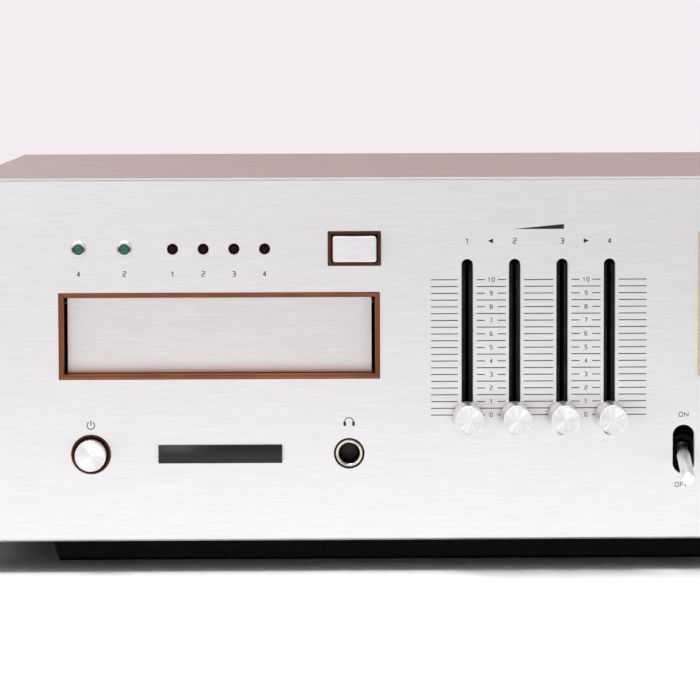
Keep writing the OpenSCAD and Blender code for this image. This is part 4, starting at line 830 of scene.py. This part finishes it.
# ---------------------------------------------------------------------------
# Lamps
# ---------------------------------------------------------------------------
def lamp_body(shape, u, r, front, collar):
    """One lamp: its domed lens, the collar that holds it behind the panel, and its tail."""
    dome = [(r * math.sin(math.radians(a)), front - r * 0.45 * math.cos(math.radians(a)))
            for a in range(0, 91, 9)]
    spin_outline(shape, u, LAMP_V, dome + [
        (r, collar), (r + 0.5, collar), (r + 0.5, collar + 0.8), (r, collar + 0.8),
        (r, 13.6), (r - 0.4, 14.0), (0.0, 14.0)], steps=48)


def make_lamps():
    """Green channel lamps in coned rings, and small red program lamps in brown sleeves."""
    rings = bmesh.new()
    for u in CHANNEL_LAMPS:                    # coned ring round each green lens
        spin_outline(rings, u, LAMP_V, [
            (1.68, 4.0), (1.68, -0.26), (1.72, -0.4), (1.84, -0.54), (2.0, -0.62), (2.18, -0.64),
            (2.34, -0.6), (2.54, -0.4), (2.72, -0.18), (2.82, -0.04), (2.86, 0.0), (2.38, 0.0),
            (2.38, 4.0)], closed=True)
    make_piece("channel_lamp_rings", rings, lamp_ring, "cabinet",
               ["lamp_bezels"])

    green = bmesh.new()
    for u in CHANNEL_LAMPS:
        lamp_body(green, u, 1.62, -0.1, 4.0)
    make_piece("channel_lamp_lenses", green, green_lens, "cabinet", ["channel_lamps"])
    red = bmesh.new()
    for u in PROGRAM_LAMPS:
        lamp_body(red, u, 1.3, 0.65, 3.0)
    make_piece("program_lamp_lenses", red, red_lens, "cabinet", ["program_lamps"])
    sleeves = bmesh.new()
    for u in PROGRAM_LAMPS:                    # brown sleeve that each small lens sits in
        spin_outline(sleeves, u, LAMP_V, [
            (1.34, 13.0), (1.34, 0.7), (1.4, 0.5), (1.62, 0.2), (1.75, 0.12), (1.75, 13.0)],
            closed=True, steps=48)
    make_piece("program_lamp_sleeves", sleeves, dark_abs, "cabinet")


make_lamps()


# ---------------------------------------------------------------------------
# Buttons
# ---------------------------------------------------------------------------
def turned_knob(name, u, v, r, front, back, body, stands_for, stem=None):
    """A round metal knob: its turned barrel with a rim, and the faced disc within the rim.
    stem is the outline behind it, where it has one."""
    barrel = bmesh.new()
    spin_outline(barrel, u, v, [
        (0.0, front + 0.4), (r - 0.42, front + 0.4), (r - 0.42, front + 0.04), (r - 0.3, front),
        (r - 0.18, front + 0.03), (r - 0.06, front + 0.14), (r, front + 0.32), (r, back - 0.3),
        (r - 0.3, back)] + (stem or [(0.0, back)]))
    make_piece(name + "_barrel", barrel, turned_barrel, body, stands_for)
    disc = bmesh.new()
    spin_outline(disc, u, v, [
        (0.0, front + 0.1), (r * 0.5, front + 0.08), (r - 0.5, front + 0.04),
        (r - 0.44, front + 0.08), (r - 0.44, front + 0.38), (0.0, front + 0.38)])
    make_piece(name + "_face", disc, spun_face, body)


STEM = [(2.0, 21.9), (1.7, 22.2), (0.0, 22.2)]  # end of the rod that works a push switch


def make_power_button():
    """Round button in a brown ring."""
    ring = bmesh.new()
    spin_outline(ring, POWER_U, ROW_V, [
        (5.42, 8.8), (5.42, 1.3), (5.48, 0.9), (6.1, -0.36), (6.2, -0.46), (6.32, -0.48),
        (6.42, -0.4), (6.45, -0.2), (6.45, 3.0), (8.0, 3.0), (8.0, 4.2), (6.45, 4.2), (6.45, 8.8)],
        closed=True)
    make_piece("power_ring", ring, umber_abs, "cabinet", ["power_liner"])
    turned_knob("power_cap", POWER_U, ROW_V, 5.1, -6.0, 3.0, "power_key", ["power_button"],
                [(2.0, 3.0)] + STEM)


def make_program_button():
    """Brushed oblong cap on a rod, in a brown surround."""
    surround = bmesh.new()
    frame_ring(surround, PROGRAM_U, LAMP_V, 17.2, 11.1, 8.8, [
        (0.0, 8.8), (0.0, 0.34), (0.05, 0.1), (0.1, 0.04), (0.6, -0.25), (0.15, -0.15),
        (0.1, -0.25), (0.0, -8.63)])
    make_piece("program_surround", surround, umber_abs, "cabinet",
               ["program_liner"])
    key = bmesh.new()
    face = panel_shape(key, PROGRAM_U, LAMP_V, 14.2, 8.2, 3.0, 0.8)
    raise_solid(key, face, [(0.0, 9.6), (0.04, 0.16), (0.12, 0.14), (0.2, 0.1)])
    make_piece("program_cap", key, cap_sheet, "program_key",
               ["program_button"], sharp=24.0)
    stem = bmesh.new()
    spin_outline(stem, PROGRAM_U, LAMP_V, [(0.0, 2.8), (2.0, 2.8)] + STEM, steps=32)
    make_piece("program_stem", stem, steel, "program_key")


make_power_button()
make_program_button()


# ---------------------------------------------------------------------------
# Jack and badge plate
# ---------------------------------------------------------------------------
def make_jack():
    """Headphone socket: a plated sleeve, its black lining and the body behind."""
    sleeve = bmesh.new()
    spin_outline(sleeve, JACK_U, ROW_V, [
        (3.2, 30.0), (3.2, 1.3), (3.24, 0.9), (3.36, 0.5), (3.6, 0.12), (3.85, -0.06),
        (4.1, -0.1), (4.32, -0.04), (4.48, 0.14), (4.55, 0.4), (4.55, 10.2), (6.2, 10.2),
        (6.2, 33.8), (0.0, 33.8), (0.0, 30.0)], steps=72)
    make_piece("jack_sleeve", sleeve, nickel, "cabinet", ["headphone_jack"])
    lining = bmesh.new()
    spin_outline(lining, JACK_U, ROW_V, [
        (0.0, 29.5), (2.6, 29.5), (2.6, 24.0), (3.05, 22.0), (3.05, 1.7), (3.19, 1.5),
        (3.19, 29.9), (0.0, 29.9)], steps=48)
    make_piece("jack_lining", lining, black_abs, "cabinet")
    body = bmesh.new()
    box(body, JACK_U - 7.5, JACK_U + 7.5, 10.25, 34.2, ROW_V - 6.5, ROW_V + 6.5, 0.6)
    make_piece("jack_body", body, phenolic, "cabinet")


def make_badge():
    """Plain gloss black plate, its edges broken."""
    plate = bmesh.new()
    half_w, half_h = 20.45, 3.05
    box(plate, BADGE_U - half_w, BADGE_U + half_w, -0.8, 0.0, ROW_V - half_h, ROW_V + half_h, 0.14)
    make_piece("badge_blank", plate, badge_gloss, "cabinet", ["badge_plate"])


make_jack()
make_badge()


# ---------------------------------------------------------------------------
# Volume sliders
# ---------------------------------------------------------------------------
def make_volume_knobs():
    """Four round knobs, each on a flat blade that ends in the slide control."""
    for i, u in enumerate(SLIDER_US, 1):
        body = "slider_%d" % i
        turned_knob("slider_knob_%d" % i, u, SLIDER_ZERO, 4.75, -19.0, -2.0, body,
                    ["volume_knob_%d" % i])
        blade = bmesh.new()
        low, high = SLIDER_ZERO - 2.0, SLIDER_ZERO + 2.0
        box(blade, u - 0.6, u + 0.6, -2.1, 14.7, low, high, 0.12)
        box(blade, u - 1.3, u + 1.3, 11.7, 14.7, low - 1.0, high + 1.0, 0.15)
        make_piece("slider_blade_%d" % i, blade, black_oxide, body)


def make_slots():
    """Felt lips behind the volume slots, and the bright edges of all five slots."""
    felt = bmesh.new()
    for u in SLIDER_US:                        # two lips of felt, which the blade passes between
        for side in (-1, 1):
            left, right = sorted((u + side * 0.66, u + side * 1.86))
            box(felt, left, right, 2.3, 2.8, SLIDER_ZERO - 5.0, SLIDER_ZERO + 50.0)
    make_piece("slider_dust_felts", felt, dust_felt, "cabinet")
    rims = bmesh.new()
    for u in SLIDER_US:                        # cut edge of each slot, which catches the light
        slot_edge(rims, u, SLIDER_ZERO - 6.65, SLIDER_ZERO + 51.65, 1.9)
    slot_edge(rims, TOGGLE_U, TOGGLE_V - 8.1, TOGGLE_V + 8.1, 3.6)
    make_piece("slot_edges", rims, slot_rim, "cabinet")


def slot_edge(shape, u, low, top, r):
    """A thin polished chamfer round a slot with round ends."""
    made = bmesh.ops.create_circle(shape, cap_ends=True, segments=40,
                                   radius=(r + 0.2) * MM)["verts"]
    bmesh.ops.rotate(shape, cent=(0, 0, 0), matrix=QUARTER_TURN, verts=made)
    upper = sorted(made, key=lambda p: p.co.z)[len(made) // 2:]
    bmesh.ops.translate(shape, vec=at(u, 0.02, low + r), verts=made)
    bmesh.ops.translate(shape, vec=(0, 0, (top - low - 2 * r) * MM), verts=upper)
    face = made[0].link_faces[0]
    face_viewer(face)
    step_in(shape, face, [(0.06, 0.04), (0.1, 0.0), (0.05, -0.22)])
    bmesh.ops.delete(shape, geom=[face], context="FACES_ONLY")


make_volume_knobs()
make_slots()


# ---------------------------------------------------------------------------
# Loudness lever
# ---------------------------------------------------------------------------
def make_lever():
    """Lever tilted on its pivot: a dark ball and neck, and a chromed sleeve over its end."""
    sway, droop = math.radians(-1.5), math.radians(13.3)
    tilt = Matrix.Rotation(sway, 3, "Z") @ Matrix.Rotation(droop, 3, "X")
    pivot_d, ball_r = 6.0, 2.8
    pivot = at(TOGGLE_U, pivot_d, TOGGLE_V)
    shape = bmesh.new()
    ball = [(ball_r * math.sin(math.radians(a)), pivot_d + ball_r * math.cos(math.radians(a)))
            for a in range(0, 136, 9)]
    neck = [(1.8, 3.2), (2.0, 0.0), (2.0, -2.4), (0.0, -2.4)]
    spin_outline(shape, TOGGLE_U, TOGGLE_V, ball + neck, steps=64)
    bmesh.ops.rotate(shape, cent=pivot, verts=shape.verts, matrix=tilt)
    make_piece("loudness_pivot", shape, zinc, "lever", ["loudness_lever"])
    pin = bmesh.new()
    bmesh.ops.create_cone(pin, cap_ends=True, segments=24, radius1=1.0 * MM, radius2=1.0 * MM,
                          depth=8.4 * MM)
    bmesh.ops.rotate(pin, cent=(0, 0, 0), matrix=Matrix.Rotation(math.pi / 2, 3, "Y"),
                     verts=pin.verts)
    bmesh.ops.translate(pin, vec=pivot, verts=pin.verts)
    make_piece("loudness_pin", pin, black_abs, "lever")
    sleeve = bmesh.new()
    spin_outline(sleeve, TOGGLE_U, TOGGLE_V, [
        (0.0, -2.0), (1.75, -2.0), (2.0, -2.06), (2.15, -2.2), (2.2, -2.45), (2.2, -24.9),
        (2.17, -25.15), (2.08, -25.34), (1.9, -25.46), (1.6, -25.5), (0.0, -25.5)], steps=64)
    bmesh.ops.rotate(sleeve, cent=pivot, verts=sleeve.verts, matrix=tilt)
    make_piece("loudness_sleeve", sleeve, chrome, "lever")


make_lever()


# ---------------------------------------------------------------------------
# Tuning dial
# ---------------------------------------------------------------------------
def make_dial_frame():
    """Gold frame of the dial, with the sleeve that holds the pane."""
    centre_u, centre_v = (DIAL_LEFT + DIAL_RIGHT) / 2, (DIAL_LOW + DIAL_TOP) / 2
    width, height = DIAL_RIGHT - DIAL_LEFT, DIAL_TOP - DIAL_LOW
    shape = bmesh.new()
    frame_ring(shape, centre_u, centre_v, width, height, 0.0, [
        (0.0, 0.8), (0.08, 0.22), (0.22, 0.16), (0.3, 0.02), (1.4, 0.0), (0.3, -0.06),
        (0.25, -0.25), (0.2, -0.6), (0.25, -0.29)])
    sleeve = bmesh.new()
    frame_ring(sleeve, centre_u, centre_v, width - 4, height - 4, 6.0,
               [(0.0, 6.0), (1.0, 0.0), (0.0, -6.0)])
    add_shape(shape, sleeve)
    make_piece("dial_frame", shape, gold, "cabinet", ["dial_bezel"])


def print_dial():
    """Two scales: a line with its strokes, every fifth one long, and numbers over it."""
    face = SCALE_FACE - 0.005                  # just clear of the plate
    upper = (84.0, 41, 2.4, 89.4, (88, 90, 92, 94, 96, 98, 100, 104, 108))
    lower = (68.0, 31, 2.0, 73.2, (55, 60, 70, 80, 100, 130, 160))
    scale = bmesh.new()
    for line_v, strokes, tall, number_v, numbers in (upper, lower):
        print_bar(scale, SCALE_START, SCALE_START + SCALE_SPAN, line_v - PRINT_LINE / 2,
                  line_v + PRINT_LINE / 2, face)
        for i in range(strokes):
            u = SCALE_START + SCALE_SPAN * i / (strokes - 1)
            reach = tall if i % 5 == 0 else tall * 0.55
            print_bar(scale, u - 0.14, u + 0.14, line_v + 0.3, line_v + 0.3 + reach, face)
        for i, number in enumerate(numbers):
            u = SCALE_START + SCALE_SPAN * i / (len(numbers) - 1)
            print_words(scale, str(number), u, number_v, face, 2.4)
    lift_print(scale)
    make_piece("dial_numbers", scale, scale_ink, "cabinet")


make_dial_frame()
print_dial()


# ---------------------------------------------------------------------------
# Rotary knobs
# ---------------------------------------------------------------------------
def fluted_rim(shape, u, v, r, depth, count, back, front, edge):
    """A knob's barrel with flutes all round, its front edge broken."""
    made = bmesh.ops.create_circle(shape, cap_ends=True, segments=count * 4, radius=r * MM)["verts"]
    hollow = [p for i, p in enumerate(made) if i % 4 == 0]
    bmesh.ops.scale(shape, vec=(1 - depth / r,) * 3, verts=hollow)
    stand_up(shape, made, u, back, v)
    face = made[0].link_faces[0]
    face_viewer(face)
    raise_solid(shape, face, [(0.0, back - front - edge), (edge * 0.3, edge * 0.7),
                              (edge * 0.7, edge * 0.3)])


def make_tuning_knob():
    """Large fluted knob: barrel, bright rim and dished face."""
    barrel = bmesh.new()
    fluted_rim(barrel, TUNING_U, TUNING_V, 20.0, 0.5, 60, -2.0, -18.5, 0.6)
    note_axis(barrel, TUNING_U, TUNING_V)
    # the barrel takes the faces' finish, with its painted fans of light and painted highlight
    make_piece("tuning_knob_barrel", barrel, spun_face, "tuning",
               ["tuning_knob"], sharp=28.0)
    rim = bmesh.new()
    spin_outline(rim, TUNING_U, TUNING_V, [
        (15.4, -18.0), (15.6, -18.3), (16.4, -18.6), (17.0, -18.94), (17.2, -19.0), (18.6, -19.0),
        (18.9, -18.92), (19.1, -18.7), (19.15, -18.4), (15.4, -17.9)], closed=True, steps=120)
    make_piece("tuning_knob_rim", rim, turned_barrel, "tuning")
    insert = bmesh.new()
    spin_outline(insert, TUNING_U, TUNING_V, [
        (0.0, -18.9), (1.0, -18.88), (8.0, -18.6), (15.6, -18.35), (15.6, -18.0), (0.0, -18.0)],
        steps=120)
    make_piece("tuning_knob_face", insert, spun_skirt, "tuning")


def make_tone_knobs():
    """Selector, bass and treble: a fluted barrel on a skirt, a faced disc and a black line."""
    for name, u in zip(("selector", "bass", "treble"), TONE_US):
        shape = bmesh.new()
        fluted_rim(shape, u, ROW_V, 11.0, 0.4, 36, -5.0, -16.7, 0.5)
        spin_outline(shape, u, ROW_V, [(0.0, -5.05), (11.6, -5.0), (11.9, -4.85), (12.0, -4.5),
                                       (12.0, -2.2), (11.8, -2.0), (3.0, -2.0), (3.0, 16.2),
                                       (0.0, 16.2)])
        make_piece(name + "_knob_barrel", shape, turned_barrel, name,
                   [name + "_knob"], sharp=28.0)
        top = bmesh.new()
        spin_outline(top, u, ROW_V, [
            (0.0, -16.84), (9.3, -16.84), (9.5, -16.96), (9.7, -17.0), (10.0, -17.0),
            (10.2, -16.94), (10.3, -16.8), (10.3, -16.6), (0.0, -16.6)])
        make_piece(name + "_knob_face", top, spun_face, name)
        line = bmesh.new()
        box(line, u - 0.4, u + 0.4, -16.92, -16.5, ROW_V + 3, ROW_V + 9.2, 0.04)
        make_piece(name + "_knob_line", line, black_abs, name)


make_tuning_knob()
make_tone_knobs()


# ---------------------------------------------------------------------------
# Back panel
# ---------------------------------------------------------------------------
def make_rear_screws():
    """Domed screws that hold the rear panel, each with its cross."""
    screws, crosses = bmesh.new(), bmesh.new()
    cross_d, cross_long, cross_thin = (REAR_FACE + 1.2, REAR_FACE + 1.74), 1.7, 0.3
    for u, v in REAR_SCREWS:
        spin_outline(screws, u, v, [(0.0, REAR_FACE + 1.7), (1.2, REAR_FACE + 1.62),
                                    (2.3, REAR_FACE + 1.2), (2.9, REAR_FACE + 0.5),
                                    (3.0, REAR_FACE), (0.0, REAR_FACE)], steps=32)
        for du, dv in ((cross_long, cross_thin), (cross_thin, cross_long)):
            box(crosses, u - du, u + du, *cross_d, v - dv, v + dv)
    make_piece("rear_screws", screws, zinc, "cabinet")
    make_piece("rear_screw_crosses", crosses, black_abs, "cabinet")


def make_phono_inserts():
    """White and red linings of the phono sockets."""
    back = REAR_FACE + 0.2
    for row, finish, name in ((-0.5, white_insert, "white"), (0.5, red_insert, "red")):
        inserts = bmesh.new()
        for i in (-1.5, -0.5, 0.5, 1.5):
            spin_outline(inserts, PHONO_U + i * PHONO_PITCH, PHONO_V + row * PHONO_RISE, [
                (1.65, back), (1.65, back + 8.4), (3.3, back + 8.4), (3.4, back + 8.8),
                (1.7, back + 8.85), (1.55, back + 8.6), (1.55, back)], closed=True, steps=40)
        make_piece("phono_inserts_" + name, inserts, finish, "cabinet")


def print_rear_numbers():
    """Numbers over the sockets and the terminals, from left to right for one who stands behind."""
    numbers = bmesh.new()
    for count, middle, pitch, v in ((4, PHONO_U, PHONO_PITCH, 68.5),
                                    (8, TERMINAL_U, TERMINAL_PITCH, 60.5)):
        for i in range(count):
            u = middle + ((count - 1) / 2 - i) * pitch
            print_words(numbers, str(i + 1), u, v, REAR_FACE - PRINT_FACE, 2.4, turned=-1)
    lift_print(numbers, 0.035, 1)
    make_piece("rear_numbers", numbers, scale_ink, "cabinet")


make_rear_screws()
make_phono_inserts()
print_rear_numbers()


# ---------------------------------------------------------------------------
# Floor, lamps and background
# ---------------------------------------------------------------------------
WHITE, PAPER = "#ffffff", "#f3edf1"            # paper is the backdrop as the camera sees it
FLOOR_RADIUS = 3.0                             # m
FADE_START, FADE_END = 0.55, 1.1               # m from the middle, where floor becomes backdrop
AMBIENT = 0.22                                 # strength of the light from all round


def rays_of(tree, *kinds):
    """1 for these kinds of ray, and 0 for the others."""
    rays = add(tree, "ShaderNodeLightPath").outputs
    share = rays[kinds[0]]
    for kind in kinds[1:]:
        share = add(tree, "ShaderNodeMath", {0: share, 1: rays[kind]},
                    operation="MAXIMUM").outputs[0]
    return share


def set_floor():
    """White paper, whose far part goes over into the backdrop for the camera."""
    floor = bmesh.new()
    bmesh.ops.create_circle(floor, cap_ends=True, segments=96, radius=FLOOR_RADIUS)
    mesh = bpy.data.meshes.new("floor")
    floor.to_mesh(mesh)
    floor.free()
    finish, tree, shader = start_finish("white_paper_sweep", Roughness=0.9, Specular_IOR_Level=0.1)
    seen = rays_of(tree, "Is Camera Ray", "Is Glossy Ray")
    colour = add(tree, "ShaderNodeMix", {0: seen, 6: srgb("#e6e4e6"), 7: srgb(WHITE)},
                 data_type="RGBA")
    tree.links.new(colour.outputs[2], shader.inputs["Base Color"])
    place = add(tree, "ShaderNodeTexCoord").outputs["Object"]
    away = add(tree, "ShaderNodeVectorMath", {0: place}, operation="LENGTH").outputs["Value"]
    far = between(tree, away, 0.0, 1.0, FADE_START, FADE_END)
    far = add(tree, "ShaderNodeMath", {0: far, 1: rays_of(tree, "Is Camera Ray")},
              operation="MULTIPLY").outputs[0]
    paper = add(tree, "ShaderNodeEmission", {"Color": srgb(PAPER), "Strength": 1.0})
    mixed = add(tree, "ShaderNodeMixShader", {0: far, 1: shader.outputs[0], 2: paper.outputs[0]})
    tree.links.new(mixed.outputs[0], tree.nodes["Material Output"].inputs["Surface"])
    mesh.materials.append(finish)
    sweep = bpy.data.objects.new("floor", mesh)
    bpy.context.scene.collection.objects.link(sweep)


def set_lamp(name, place, size, power, aim=(-0.05, 0.0, 0.06)):
    """A soft lamp of size metres and power watts, from its place towards its aim."""
    light = bpy.data.lights.new(name, "AREA")
    light.shape = "RECTANGLE"
    light.size, light.size_y = size
    light.energy = power
    carrier = bpy.data.objects.new(name, light)
    carrier.location = place
    carrier.rotation_euler = (Vector(aim) - Vector(place)).to_track_quat("-Z", "Y").to_euler()
    bpy.context.scene.collection.objects.link(carrier)


def set_world():
    """Light from all round, and the room as the camera and the metal see it."""
    world = bpy.data.worlds.new("studio")
    bpy.context.scene.world = world
    world.use_nodes = True
    tree = world.node_tree
    light = tree.nodes["Background"]
    light.inputs["Color"].default_value = srgb("#f4f2f4")
    light.inputs["Strength"].default_value = AMBIENT
    seen = rays_of(tree, "Is Camera Ray", "Is Glossy Ray", "Is Transmission Ray")
    way = add(tree, "ShaderNodeTexCoord").outputs["Generated"]
    way = add(tree, "ShaderNodeSeparateXYZ", {0: way}).outputs
    room = between(tree, way["Z"], "#ebe7ea", "#9c9699", 0.0, 0.7)     # dimmer above
    window = between(tree, way["X"], 0.0, 1.0, 0.0, -0.2)             # lighter to the left
    room = add(tree, "ShaderNodeMix", {0: window, 6: room, 7: srgb(WHITE)},
               data_type="RGBA").outputs[2]
    mirrored = add(tree, "ShaderNodeMix", {0: rays_of(tree, "Is Glossy Ray"), 6: srgb(PAPER),
                                           7: room}, data_type="RGBA")
    backdrop = add(tree, "ShaderNodeBackground", {"Color": mirrored.outputs[2], "Strength": 1.0})
    mixed = add(tree, "ShaderNodeMixShader", {0: seen, 1: light.outputs[0], 2: backdrop.outputs[0]})
    tree.links.new(mixed.outputs[0], tree.nodes["World Output"].inputs["Surface"])


set_floor()
set_lamp("key", (-0.35, -0.3, 1.7), (1.1, 0.3), 24.0)
set_lamp("overhead", (0.1, 0.35, 1.7), (1.0, 0.6), 9.0)
set_lamp("fill", (1.3, -1.3, 1.0), (1.0, 1.0), 2.0)
set_lamp("left_card", (-0.6, -1.5, 0.3), (0.3, 0.6), 0.9, (-0.3, -0.12, 0.1))
set_world()

scene = bpy.context.scene
scene.view_settings.view_transform = "Standard"
